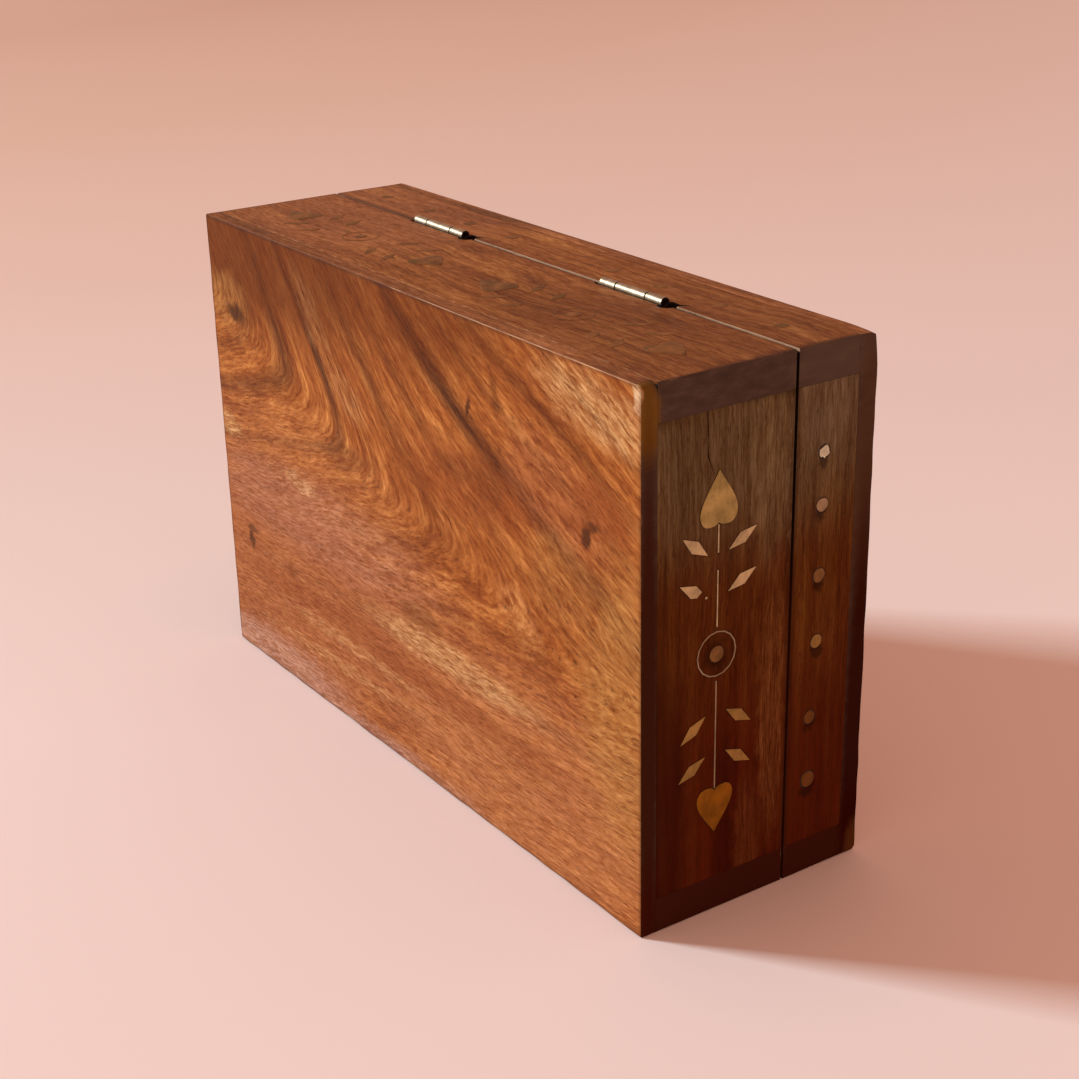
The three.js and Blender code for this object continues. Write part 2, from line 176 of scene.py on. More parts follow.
def finished(bm, name, body, materials, smooth_angle=None):
    """Turns a bmesh into a piece at the origin that rides on a body. Edges up to the angle are shaded
    smooth."""
    mesh = bpy.data.meshes.new(name)
    bm.to_mesh(mesh)
    bm.free()
    piece = linked(name, mesh)
    for material in materials:
        mesh.materials.append(material)
    if smooth_angle is not None:
        mesh.shade_smooth()
        mesh.set_sharp_from_angle(angle=math.radians(smooth_angle))
        weighted = piece.modifiers.new("Even shading", "WEIGHTED_NORMAL")
        weighted.keep_sharp = True
    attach(piece, body)
    return piece


def merged_copy(node):
    """A free copy of a CAD node, with its loose triangles joined up"""
    bm = bmesh.new()
    bm.from_mesh(frame["nodes"][node].data)
    bmesh.ops.remove_doubles(bm, verts=bm.verts, dist=WELD)
    return bm


# Settings

def length_setting(name, description, size):
    """A length that a user may change, with its default in millimetres"""
    return FloatProperty(name=name, description=description, default=size * MM, unit="LENGTH")


class BoardSettings(PropertyGroup):
    """How the boards are worn"""
    slice_length: length_setting(
        "Slice", "Distance between the slices that let a board be worn unevenly", 2.5)
    arris_wear: length_setting("Arris wear", "The most that an outer edge is worn back", 0.18)
    arris_reach: length_setting("Arris reach", "How far from an edge the wear reaches", 0.6)
    hollow: length_setting("Hollow", "How far a flat side wanders from flat, always inwards", 0.06)
    corner_wear: length_setting(
        "Corner wear", "How much more the lid's right corner on the hinged side is worn", 0.5)
    corner_reach: length_setting("Corner reach", "How far from that corner the wear reaches", 9.0)
    dent_size: length_setting("Dent size", "The length of one worn stretch of an edge", 7.0)


def colour_setting(name, description, text):
    """A colour that a user may change, with its default in sRGB hex"""
    return FloatVectorProperty(
        name=name, description=description, subtype="COLOR", min=0.0, max=1.0, default=srgb(text)[:3])


class WoodSettings(PropertyGroup):
    """Colours of the wood, before any light"""
    bottom_pale: colour_setting("Bottom pale", "The bottom board's palest grain", "#BC763A")
    bottom: colour_setting("Bottom", "The bottom board's own colour", "#9C5622")
    bottom_dark: colour_setting("Bottom dark", "The bottom board's darker grain", "#7E3C12")
    streak: colour_setting("Streak", "The bottom board's dark growth lines", "#3E1B08")
    long_pale: colour_setting("Long pale", "The long boards' palest grain", "#A26634")
    long: colour_setting("Long", "The long boards' own colour", "#874C22")
    long_dark: colour_setting("Long dark", "The long boards' darker grain", "#643214")
    edge_pale: colour_setting("Edge pale", "The bottom's and top's long edges, palest grain", "#A2663C")
    edge: colour_setting("Edge", "The bottom's and top's long edges", "#864E2A")
    edge_dark: colour_setting("Edge dark", "The bottom's and top's long edges, darker grain", "#663A1E")
    end_pale: colour_setting("End pale", "The end boards' palest grain", "#76501F")
    end: colour_setting("End", "The end boards' own colour", "#58310F")
    end_dark: colour_setting("End dark", "The end boards' darker grain", "#3B1B0C")
    exposed: colour_setting("Exposed", "Wood laid bare by rubbing", "#CFA07A")
    pore: colour_setting("Pore", "Pores, knots and cracks", "#2C1208")


class InlaySettings(PropertyGroup):
    """The brass pieces"""
    soft_edge: length_setting("Soft edge", "The filed edge of each brass piece", 0.09)
    glue_width: length_setting("Glue width", "How far the dark glue shows around each piece", 0.12)
    glue_depth: length_setting("Glue depth", "How far the glue has sunk below the wood", 0.1)
    wire_filed: length_setting("Wire filed", "How much has been filed off the thin wires", 0.04)
    dot_uneven: FloatProperty(
        name="Dot uneven", default=0.12,
        description="The most that a dot falls short of its round, as a share of its radius")
    dot_torn: FloatProperty(
        name="Dot torn", description="The same for the first dot of a row, which is torn", default=0.42)
    sunk: length_setting("Sunk", "How much lower the back and lid inlay sits than the ends' does", 0.05)
    back_scale: FloatProperty(
        name="Back scale", description="Size of a back motif beside an end's", default=0.91)
    back_spread: length_setting(
        "Back spread", "From the middle of the back to the middle of each motif", 47.25)
    back_line: length_setting("Back line", "Where the back motifs' middle line lies", -12.0)
    back_dot_radius: length_setting("Back dot radius", "Half the width of a dot in the lid's back", 1.7)
    lid_line: length_setting("Lid line", "Where the lid's back row of dots lies", 17.75)
    lid_scale: FloatProperty(
        name="Lid scale", description="Size of the lid top's motif beside an end's", default=1.1)


class HingeSettings(PropertyGroup):
    """The hinges and their screws"""
    soft_edge: length_setting("Soft edge", "The rolled edge of the steel", 0.1)
    screw_radius: length_setting("Screw radius", "Half the width of a screw's head", 1.06)
    screw_sunk: length_setting("Screw sunk", "How far a head lies below its leaf", 0.03)
    screw_spacing: length_setting("Screw spacing", "Between the two screws of a leaf", 12.0)
    screw_height: length_setting("Screw height", "The screws' line above the floor", 123.2)
    slot_width: length_setting("Slot width", "The slot across a head", 0.32)
    slot_depth: length_setting("Slot depth", "How deep the slot is cut", 0.22)


class StageSettings(PropertyGroup):
    """Floor, light and camera"""
    camera_place: FloatVectorProperty(
        name="Camera", description="Where the camera stands", unit="LENGTH",
        default=(0.3829, -0.2502, 0.2422))
    camera_azimuth: FloatProperty(
        name="Azimuth", description="Turn of the view round the box", subtype="ANGLE",
        default=math.radians(55.84))
    camera_elevation: FloatProperty(
        name="Elevation", description="How far the camera looks down", subtype="ANGLE",
        default=math.radians(22.27))
    camera_roll: FloatProperty(
        name="Roll", description="Tilt of the picture", subtype="ANGLE",
        default=math.radians(-1.2))
    lens: FloatProperty(
        name="Lens", description="Focal length for a 36 mm sensor", default=64.43, unit="CAMERA")
    key_azimuth: FloatProperty(
        name="Key azimuth", subtype="ANGLE", default=math.radians(-50.0),
        description="Where the soft window light comes from, by the same turn as the camera's")
    key_elevation: FloatProperty(
        name="Key elevation", description="Height of the light", subtype="ANGLE", default=math.radians(27.0))
    key_distance: FloatProperty(
        name="Key distance", description="From the box to the light", default=5.0, unit="LENGTH")
    key_size: FloatProperty(name="Key size", description="Side of the light", default=0.8, unit="LENGTH")
    key_power: FloatProperty(
        name="Key power", description="Strength of the light", default=310.0, unit="POWER")
    sky_strength: FloatProperty(name="Sky", description="Light from all round", default=0.68)
    floor_size: FloatProperty(
        name="Floor", description="Side of the floor", default=12.0, unit="LENGTH")


# Wood

def millimetres(tree):
    """The point on the box, in millimetres"""
    coordinates = add(tree, "TexCoord")
    return add(tree, "VectorMath", {0: coordinates.outputs["Object"], "Scale": 1 / MM}, operation="SCALE")


def straight_figure(tree, place, along, across, seed, sway):
    """Grain that runs along a board and sways by so many millimetres, as (across, along, the third way)"""
    parts = add(tree, "SeparateXYZ", {"Vector": place})
    slow = add(
        tree, "TexNoise", {"Vector": place, "Scale": 1 / 60, "Detail": 1.0, "W": seed}, noise_dimensions="4D")
    swing = add(
        tree, "Math", {0: slow, 1: sway, 2: parts.outputs[across]}, operation="MULTIPLY_ADD")
    return add(
        tree, "CombineXYZ", {"X": swing, "Y": parts.outputs[along], "Z": parts.outputs[3 - along - across]})


# The bottom board's figure: growth lines nested like the letter U on its side round a knot near the left end,
# measured in millimetres from the board's left end and its hinged side. Each line comes down from the hinged
# side, turns, and runs back to the left, and the lines open out towards the right end and lie level below.
FIGURE_KNOT = (14.0, 24.0)
# The way from the knot to where the lines turn, how wide they open, and how round the turn is
FIGURE_AXIS = (0.925, 0.378)
FIGURE_OPENING = 0.6
FIGURE_ROUND = 7.0
# From here to the right each millimetre counts as this share of one, and the change is eased over a distance
FIGURE_STRETCH_FROM = 90.0
FIGURE_STRETCH = 0.35
FIGURE_STRETCH_EASE = 40.0
# Between these distances from the hinged side the lines come to lie level: by this share, every point counts
# as this far from the left end
FIGURE_LEVEL = (60.0, 90.0)
FIGURE_LEVEL_SHARE = 0.75
FIGURE_LEVEL_AT = 45.0
# How far out from the knot the dark lines go, and how far any line wanders
FIGURE_SPAN = 125.0
FIGURE_SWAY = 5.0
# How far the grain tears a dark line's edges. The lines are soft below one distance from the hinged side,
# down to a share of their darkness, and sharp above the other.
STREAK_TORN = 3.6
STREAK_SOFT_FROM = 60.0
STREAK_SHARP_TO = 20.0
STREAK_SOFT = 0.36
# Dark growth lines: (distance out from the knot, half width, darkness)
FIGURE_STREAKS = [
    (12.0, 4.5, 0.35), (25.0, 4.2, 0.85), (41.5, 2.6, 1.0), (50.0, 2.0, 0.2),
    (61.5, 4.2, 0.5), (72.0, 2.4, 0.4), (84.0, 3.4, 0.95), (93.5, 1.6, 0.35), (101.0, 2.4, 0.4),
    (110.0, 2.0, 0.35),
]


def cathedral_figure(tree, place):
    """The bottom board's figure, as (distance out from the knot, place along the line, x) in millimetres"""
    wander = add(tree, "TexNoise", {"Vector": place, "Scale": 1 / 38, "Detail": 2.0, "Roughness": 0.45})
    centred = add(tree, "VectorMath", {0: wander.outputs["Color"], 1: (0.5, 0.5, 0.5)}, operation="SUBTRACT")
    shift = add(tree, "VectorMath", {0: centred, "Scale": FIGURE_SWAY}, operation="SCALE")
    swayed = add(tree, "VectorMath", {0: place, 1: shift}, operation="ADD")
    parts = add(tree, "SeparateXYZ", {"Vector": swayed})
    across = add(tree, "Math", {0: parts.outputs["X"], 1: LENGTH_MM / 2}, operation="ADD")
    down = add(tree, "Math", {0: HEIGHT_MM, 1: parts.outputs["Z"]}, operation="SUBTRACT")
    eased = add(
        tree, "Math",
        {0: across, 1: FIGURE_STRETCH, 2: FIGURE_STRETCH_FROM * (1 - FIGURE_STRETCH)},
        operation="MULTIPLY_ADD")
    opened = add(tree, "Math", {0: across, 1: eased, 2: FIGURE_STRETCH_EASE}, operation="SMOOTH_MIN")
    level = add(
        tree, "MapRange",
        {"Value": down, "From Min": FIGURE_LEVEL[0], "From Max": FIGURE_LEVEL[1],
         "To Max": FIGURE_LEVEL_SHARE},
        interpolation_type="SMOOTHSTEP")
    run = add(tree, "Mix", {"Factor": level, "A": opened, "B": FIGURE_LEVEL_AT}, data_type="FLOAT")
    run_from = add(tree, "Math", {0: run, 1: FIGURE_KNOT[0]}, operation="SUBTRACT")
    down_from = add(tree, "Math", {0: down, 1: FIGURE_KNOT[1]}, operation="SUBTRACT")
    out_part = add(tree, "Math", {0: run_from, 1: FIGURE_AXIS[0] * FIGURE_OPENING}, operation="MULTIPLY")
    out = add(
        tree, "Math", {0: down_from, 1: FIGURE_AXIS[1] * FIGURE_OPENING, 2: out_part},
        operation="MULTIPLY_ADD")
    side_part = add(tree, "Math", {0: run_from, 1: -FIGURE_AXIS[1]}, operation="MULTIPLY")
    side = add(tree, "Math", {0: down_from, 1: FIGURE_AXIS[0], 2: side_part}, operation="MULTIPLY_ADD")
    squared = add(tree, "Math", {0: side, 1: side, 2: FIGURE_ROUND ** 2}, operation="MULTIPLY_ADD")
    turned = add(tree, "Math", {0: squared}, operation="SQRT")
    reach = add(tree, "Math", {0: out, 1: turned}, operation="ADD")
    return add(tree, "CombineXYZ", {"X": reach, "Y": side, "Z": parts.outputs["X"]})


def grain_noise(tree, figure, mark, detail=2.0, roughness=0.5, length=1.0):
    """Noise drawn out along the grain. A mark is about so many millimetres across, and so many along times
    length."""
    across, along = mark[0], mark[1] * length
    drawn = add(
        tree, "VectorMath", {0: figure, 1: (1 / across, 1 / along, 1 / along)}, operation="MULTIPLY")
    return add(tree, "TexNoise", {"Vector": drawn, "Scale": 1.0, "Detail": detail, "Roughness": roughness})


def depths(tree, place):
    """How many millimetres a point lies under the box's outer sides, by axis"""
    centred = add(
        tree, "VectorMath", {0: place, 1: tuple(part / MM for part in SHELL_CENTRE)}, operation="SUBTRACT")
    away = add(tree, "VectorMath", {0: centred}, operation="ABSOLUTE")
    inset = add(
        tree, "VectorMath", {0: tuple(part / MM for part in SHELL_HALF), 1: away}, operation="SUBTRACT")
    return add(tree, "SeparateXYZ", {"Vector": inset})


def edge_distance(tree, place):
    """How many millimetres it is to the nearest outer edge of the box, or to a rim where it meets the
    outside"""
    depth = depths(tree, place)
    least = add(tree, "Math", {0: depth.outputs["X"], 1: depth.outputs["Y"]}, operation="MINIMUM")
    most = add(tree, "Math", {0: depth.outputs["X"], 1: depth.outputs["Y"]}, operation="MAXIMUM")
    other = add(tree, "Math", {0: most, 1: depth.outputs["Z"]}, operation="MINIMUM")
    to_edge = add(tree, "Math", {0: least, 1: other}, operation="MAXIMUM")
    parts = add(tree, "SeparateXYZ", {"Vector": place})
    from_parting = add(tree, "Math", {0: parts.outputs["Y"], 1: PARTING_Y / MM}, operation="SUBTRACT")
    gap_side = add(tree, "Math", {0: from_parting}, operation="ABSOLUTE")
    to_rim = add(tree, "Math", {0: gap_side, 1: HALF_GAP / MM}, operation="SUBTRACT")
    return add(tree, "Math", {0: to_edge, 1: to_rim}, operation="MINIMUM")


def streaky(tree, lines, strokes):
    """Grain as a mask from 0 to 1, for a patch of colour to lie along"""
    both = add(tree, "Math", {0: lines, 1: strokes}, operation="ADD")
    return add(tree, "MapRange", {"Value": both, "From Min": 0.82, "From Max": 1.16})


def washed(tree, place, mask, colour, layers):
    """Lays patches of colour over a wood. Each layer is a colour, how far the grain breaks it up, and its
    spots."""
    for tone, broken, marks in layers:
        spread = spots(tree, place, marks)
        grain = add(tree, "MapRange", {"Value": mask, "To Min": 1 - broken, "To Max": 1.0})
        share = add(tree, "Math", {0: spread, 1: grain}, operation="MULTIPLY", use_clamp=True)
        colour = add(tree, "Mix", {"Factor": share, "A": colour, "B": srgb(tone)}, data_type="RGBA")
    return colour


def ragged(tree, place, size, reach):
    """The same place, pushed about by up to half of reach, so that outlines come out uneven"""
    push = add(tree, "TexNoise", {"Vector": place, "Scale": 1 / size, "Detail": 3.0, "Roughness": 0.6})
    centred = add(tree, "VectorMath", {0: push.outputs["Color"], 1: (0.5, 0.5, 0.5)}, operation="SUBTRACT")
    moved = add(tree, "VectorMath", {0: centred, "Scale": reach}, operation="SCALE")
    return add(tree, "VectorMath", {0: place, 1: moved}, operation="ADD")


# Sheesham's marks, as millimetres across and along the grain. Real pores are a little narrower, and are drawn
# this wide so that they show.
BAND = (6.0, 120.0)
RIBBON = (2.2, 46.0)
LINE = (1.0, 24.0)
STROKE = (0.6, 4.2)
PORE = (0.3, 2.6)
# Pale fibres are greyer than the wood and dark ones redder, so a stroke changes blue the most
STROKE_TINT = (0.88, 1.25, 1.7)


def paleness(tree, place, bands, ribbons, lines, depth):
    """How pale the wood is at a point, from 0 to 1, by its growth and by slow patches"""
    patches = add(tree, "TexNoise", {"Vector": place, "Scale": 1 / 30, "Detail": 4.0, "Roughness": 0.6})
    tone = add(tree, "Math", {0: bands, 1: 0.26, 2: -0.1}, operation="MULTIPLY_ADD")
    tone = add(tree, "Math", {0: ribbons, 1: 0.34, 2: tone}, operation="MULTIPLY_ADD")
    tone = add(tree, "Math", {0: lines, 1: 0.4, 2: tone}, operation="MULTIPLY_ADD")
    tone = add(tree, "Math", {0: patches, 1: 0.2, 2: tone}, operation="MULTIPLY_ADD")
    half = 0.12 / depth
    return add(tree, "MapRange", {"Value": tone, "From Min": 0.5 - half, "From Max": 0.5 + half})


def stroked(tree, colour, strokes, pale, depth, through):
    """Lightens and darkens a wood by its strokes of fibre, and by its bands as far as through says"""
    shade = add(
        tree, "MapRange",
        {"Value": strokes, "From Min": 0.28, "From Max": 0.72,
         "To Min": 1 - 0.54 * depth, "To Max": 1 + 0.44 * depth})
    if through:
        banded = add(tree, "MapRange", {"Value": pale, "To Min": 1 - through, "To Max": 1 + through})
        shade = add(tree, "Math", {0: shade, 1: banded}, operation="MULTIPLY")
    departure = add(tree, "Math", {0: shade, 1: 1.0}, operation="SUBTRACT")
    tinted = add(
        tree, "VectorMath", {0: departure, 1: STROKE_TINT, 2: (1.0, 1.0, 1.0)}, operation="MULTIPLY_ADD")
    return add(tree, "VectorMath", {0: colour, 1: tinted}, operation="MULTIPLY")


def handled(tree, place, colour, strokes, dirt, rub, rubbed):
    """Lays a line of grime along the box's edges, and rubs the edges themselves pale"""
    colours = bpy.context.scene.inlaid_box_wood
    distance = edge_distance(tree, place)
    grime = add(
        tree, "MapRange",
        {"Value": distance, "From Min": 0.45, "From Max": 1.3, "To Min": dirt, "To Max": 0.0})
    grime = add(tree, "Math", {0: grime, 1: strokes}, operation="MULTIPLY")
    colour = add(tree, "Mix", {"Factor": grime, "A": colour, "B": (*colours.pore, 1.0)}, data_type="RGBA")
    if rubbed:
        rub = add(tree, "Math", {0: spots(tree, place, rubbed), 1: rub}, operation="ADD")
    rubs = add(tree, "TexNoise", {"Vector": place, "Scale": 1 / 6, "Detail": 5.0, "Roughness": 0.7})
    near = add(
        tree, "MapRange",
        {"Value": distance, "From Min": 0.1, "From Max": 0.38, "To Min": 1.0, "To Max": 0.0})
    worn = add(tree, "Math", {0: rubs, 1: rub}, operation="ADD")
    worn = add(tree, "MapRange", {"Value": worn, "From Min": 0.7, "From Max": 0.95})
    worn = add(tree, "Math", {0: worn, 1: near}, operation="MULTIPLY")
    return add(
        tree, "Mix", {"Factor": worn, "A": colour, "B": (*colours.exposed, 1.0)}, data_type="RGBA")


def sheesham(name, figure_of, tones, layers=(), streaks=None, rubbed=(), rub=0.1, depth=1.0, stroke=STROKE,
             shine=0.07, dirt=0.8, through=0.0, length=1.0):
    """Oiled sheesham, planed and rubbed by hand. Tones run from pale to dark.
    It gives the eye wide growth bands, broken strokes of fibre, short dark pores, and edges rubbed pale over
    a line of grime. Layers are patches of colour, streaks lays growth lines, and rubbed is where the edges
    are worn more than rub says. Depth is how strong the grain is, through how much of the bands shows through
    the patches, and length draws the grain out or breaks it up."""
    pore_colour = (*bpy.context.scene.inlaid_box_wood.pore, 1.0)
    material, tree = new_material(name)
    place = millimetres(tree)
    figure = ragged(tree, figure_of(tree, place), 3.0, 0.9)
    bands = grain_noise(tree, figure, BAND, length=length)
    ribbons = grain_noise(tree, figure, RIBBON, length=length)
    lines = grain_noise(tree, figure, LINE, 4.0, 0.62, length)
    strokes = grain_noise(tree, figure, stroke, 4.0, 0.72)

    pale = paleness(tree, place, bands, ribbons, lines, depth)
    colour = add(
        tree, "ValToRGB", {"Fac": pale}, stops=[(0.0, tones[2]), (0.5, tones[1]), (1.0, tones[0])])
    if streaks:
        colour = streaks(tree, place, figure, lines, colour)
    if layers:
        mask = streaky(tree, lines, strokes)
        colour = washed(tree, ragged(tree, place, 4.0, 5.0), mask, colour, layers)
    colour = stroked(tree, colour, strokes, pale, depth, through)
    fine = grain_noise(tree, figure, PORE, 1.0)
    pores = add(tree, "MapRange", {"Value": fine, "From Min": 0.6, "From Max": 0.74, "To Max": 0.5})
    colour = add(tree, "Mix", {"Factor": pores, "A": colour, "B": pore_colour}, data_type="RGBA")
    colour = handled(tree, place, colour, strokes, dirt, rub, rubbed)

    relief = add(tree, "Math", {0: pores, 1: -1.2, 2: strokes}, operation="MULTIPLY_ADD")
    relief = add(tree, "Math", {0: lines, 1: 1.6, 2: relief}, operation="MULTIPLY_ADD")
    bump = add(tree, "Bump", {"Height": relief, "Strength": 0.6, "Distance": 0.06 * MM})
    polish = add(
        tree, "MapRange",
        {"Value": strokes, "From Min": 0.3, "From Max": 0.7, "To Min": 0.58, "To Max": 0.44})
    shader = add(
        tree, "BsdfPrincipled",
        {"Base Color": colour, "Roughness": polish, "Normal": bump, "Specular IOR Level": shine})
    add(tree, "OutputMaterial", {"Surface": shader})
    return material


def bottom_streaks(tree, place, figure, lines, colour):
    """Lays the bottom board's dark growth lines, sharp near the hinged side and soft further down"""
    parts = add(tree, "SeparateXYZ", {"Vector": figure})
    torn = add(tree, "Math", {0: lines, 1: STREAK_TORN, 2: parts.outputs["X"]}, operation="MULTIPLY_ADD")
    share = add(tree, "Math", {0: torn, 1: FIGURE_SPAN}, operation="DIVIDE")
    stops = [(0.0, 0.0)]
    for reach, half, dark in FIGURE_STREAKS:
        middle = reach + STREAK_TORN / 2
        stops += [((middle - half) / FIGURE_SPAN, 0.0), (middle / FIGURE_SPAN, dark),
                  ((middle + half) / FIGURE_SPAN, 0.0)]
    dark = add(tree, "ValToRGB", {"Fac": share}, stops=stops)
    height = add(tree, "SeparateXYZ", {"Vector": place})
    fade = add(
        tree, "MapRange",
        {"Value": height.outputs["Z"], "From Min": HEIGHT_MM - STREAK_SOFT_FROM,
         "From Max": HEIGHT_MM - STREAK_SHARP_TO, "To Min": STREAK_SOFT, "To Max": 1.0},
        interpolation_type="SMOOTHSTEP")
    strength = add(tree, "Math", {0: dark, 1: fade}, operation="MULTIPLY")
    streak = (*bpy.context.scene.inlaid_box_wood.streak, 1.0)
    return add(tree, "Mix", {"Factor": strength, "A": colour, "B": streak}, data_type="RGBA")


# A spot that is this wide along an axis goes right through the box
RIGHT_THROUGH = 400.0


def on_bottom(across, down, wide, high, turn=0.0, strength=1.0):
    """A spot on the bottom board, in millimetres from its left end and its hinged side"""
    centre = (across - LENGTH_MM / 2, 0.0, HEIGHT_MM - down)
    return centre, (wide, RIGHT_THROUGH, high), turn, strength


# Each layer of patches is a colour, how far the grain breaks it up, and its spots. Those of the bottom board
# are, in turn: the dark stretch along the hinged side, the rosy lower right, the warmer lower left, red-brown
# patches between the lines, tan ends, pale patches, a painted sheen in greyish pink at the foot and the
# middle left, the worn upper right corner, and the knots with other small dark marks.
BOTTOM_LAYERS = [
    ("#622A00", 0.2, [on_bottom(30, 2, 96, 32, 0, 0.85), on_bottom(104, 0, 60, 24, 0, 0.65)]),
    ("#B8784E", 0.3, [on_bottom(150, 108, 80, 40, 0, 0.5), on_bottom(40, 60, 80, 22, 0, 0.2)]),
    ("#A2603A", 0.2, [on_bottom(40, 96, 100, 44, 0, 0.7), on_bottom(165, 32, 30, 16, 20, 0.4)]),
    ("#843E16", 0.3, [on_bottom(128, 40, 36, 14, 0, 0.55), on_bottom(182, 31, 15, 9, 14, 0.75),
                      on_bottom(120, 100, 70, 5, 0, 0.55), on_bottom(48, 98, 60, 4, -3, 0.45),
                      on_bottom(38, 80, 50, 3, 0, 0.35)]),
    ("#B07A40", 0.4, [on_bottom(190, 74, 22, 46, 0, 0.6), on_bottom(168, 52, 20, 14, 20, 0.35),
                      on_bottom(8, 22, 18, 10, 0, 0.45)]),
    ("#C4925E", 0.8, [on_bottom(179, 9, 27, 9, 10, 0.8), on_bottom(118, 89, 52, 6, 0, 0.75),
                      on_bottom(46, 65, 12, 3, 4, 0.8), on_bottom(5, 59, 8, 5, 0, 0.9),
                      on_bottom(60, 20, 6, 24, -34, 0.2), on_bottom(74, 33, 14, 6, 30, 0.3),
                      on_bottom(150, 66, 14, 8, 40, 0.2),
                      on_bottom(70, 104, 50, 2.5, 0, 0.4), on_bottom(60, 112, 60, 2.5, -2, 0.4)]),
    # Painted sheen: a greyish pink wash over the foot and the middle left
    ("#B98E7C", 0.5, [on_bottom(12, 126, 70, 12, -4, 0.65), on_bottom(80, 127, 70, 6, 0, 0.5),
                      on_bottom(50, 74, 90, 16, 0, 0.2)]),
    ("#D8B48C", 0.75, [((96.4, -32.0, 124.2), (2.6, 3.0, 5.0), 0, 0.9)]),
    ("#46210A", 0.35, [on_bottom(14, 25, 7.0, 3.2, 8, 1.0), on_bottom(13, 91, 2.2, 4.6, 0, 0.9),
                       on_bottom(14, 88, 4.0, 1.4, 0, 0.7), on_bottom(176, 38, 2.4, 3.6, 20, 1.0),
                       on_bottom(178, 35, 3.2, 1.8, 0, 0.8), on_bottom(131, 21.5, 1.6, 3.6, 10, 1.0),
                       on_bottom(142, 15, 2.0, 7, -14, 0.4), on_bottom(72, 50, 16, 5, -6, 0.35),
                       on_bottom(129, 36.5, 18, 4, -4, 0.3), on_bottom(139, 37, 8, 9, 0, 0.35),
                       on_bottom(105, 82, 15, 4, 0, 0.45)]),
]


def wood_tones(kind):
    """One wood's pale, middle and dark tones"""
    colours = bpy.context.scene.inlaid_box_wood
    return [(*getattr(colours, name), 1.0) for name in (kind + "_pale", kind, kind + "_dark")]


def bottom_board_wood():
    """The bottom board's broad side. Its lines bend round a knot, and its edge on the hinged side is pale
    towards
    the right: rubbed wear, with a painted highlight where the arris catches the light."""
    # Pale along the hinged edge, stronger to the right: rubbed wear and a painted highlight
    rubbed = [
        ((62.0, -32.0, 127.0), (80.0, 8.0, 8.0), 0, 0.4),
        ((97.0, -32.0, 127.0), (12.0, 9.0, 12.0), 0, 0.3)]
    return sheesham(
        "Sheesham, flat sawn and oiled", cathedral_figure, wood_tones("bottom"), BOTTOM_LAYERS,
        bottom_streaks, rubbed=rubbed, length=0.4)


def long_board_wood():
    """The hinged side and the front. The hinged side is darker to the right, has a pale line by the bottom
    board, and is rubbed along the lid's side of the gap."""
    layers = [
        ("#5E3216", 0.3, [((70.0, 0.0, 127.0), (60.0, 60.0, 60.0), 0, 0.4)]),
        ("#9A5E3C", 0.3, [((-70.0, 0.0, 127.0), (60.0, 60.0, 60.0), 0, 0.5)]),
        ("#B98A66", 0.8, [((0.0, -27.5, 127.0), (240.0, 0.6, 4.0), 0, 0.4)]),
        ("#461E08", 0.3, [((98.0, 12.0, 127.0), (3.2, 50.0, 3.0), 0, 0.85)]),
    ]
    rubbed = [
        ((66.0, 9.6, 127.0), (50.0, 1.6, 3.0), 0, 0.34),
        ((2.0, 9.6, 127.0), (44.0, 1.6, 3.0), 0, 0.32)]
    return sheesham(
        "Sheesham, straight grained and oiled",
        lambda tree, place: straight_figure(tree, place, 0, 1, 3.0, 14.0), wood_tones("long"), layers,
        rubbed=rubbed)


def thin_edge_wood():
    """The narrow long edges of the two broad boards, even in colour, with little grime"""
    return sheesham(
        "Sheesham, long edges of the bottom and top",
        lambda tree, place: straight_figure(tree, place, 0, 1, 5.0, 6.0), wood_tones("edge"), dirt=0.3)


def lid_top_wood():
    """The lid's broad side, with straight lines from end to end and well rubbed arrises"""
    return sheesham(
        "Sheesham, quarter sawn and oiled",
        lambda tree, place: straight_figure(tree, place, 0, 2, 7.0, 14.0), wood_tones("bottom"), rub=0.15)


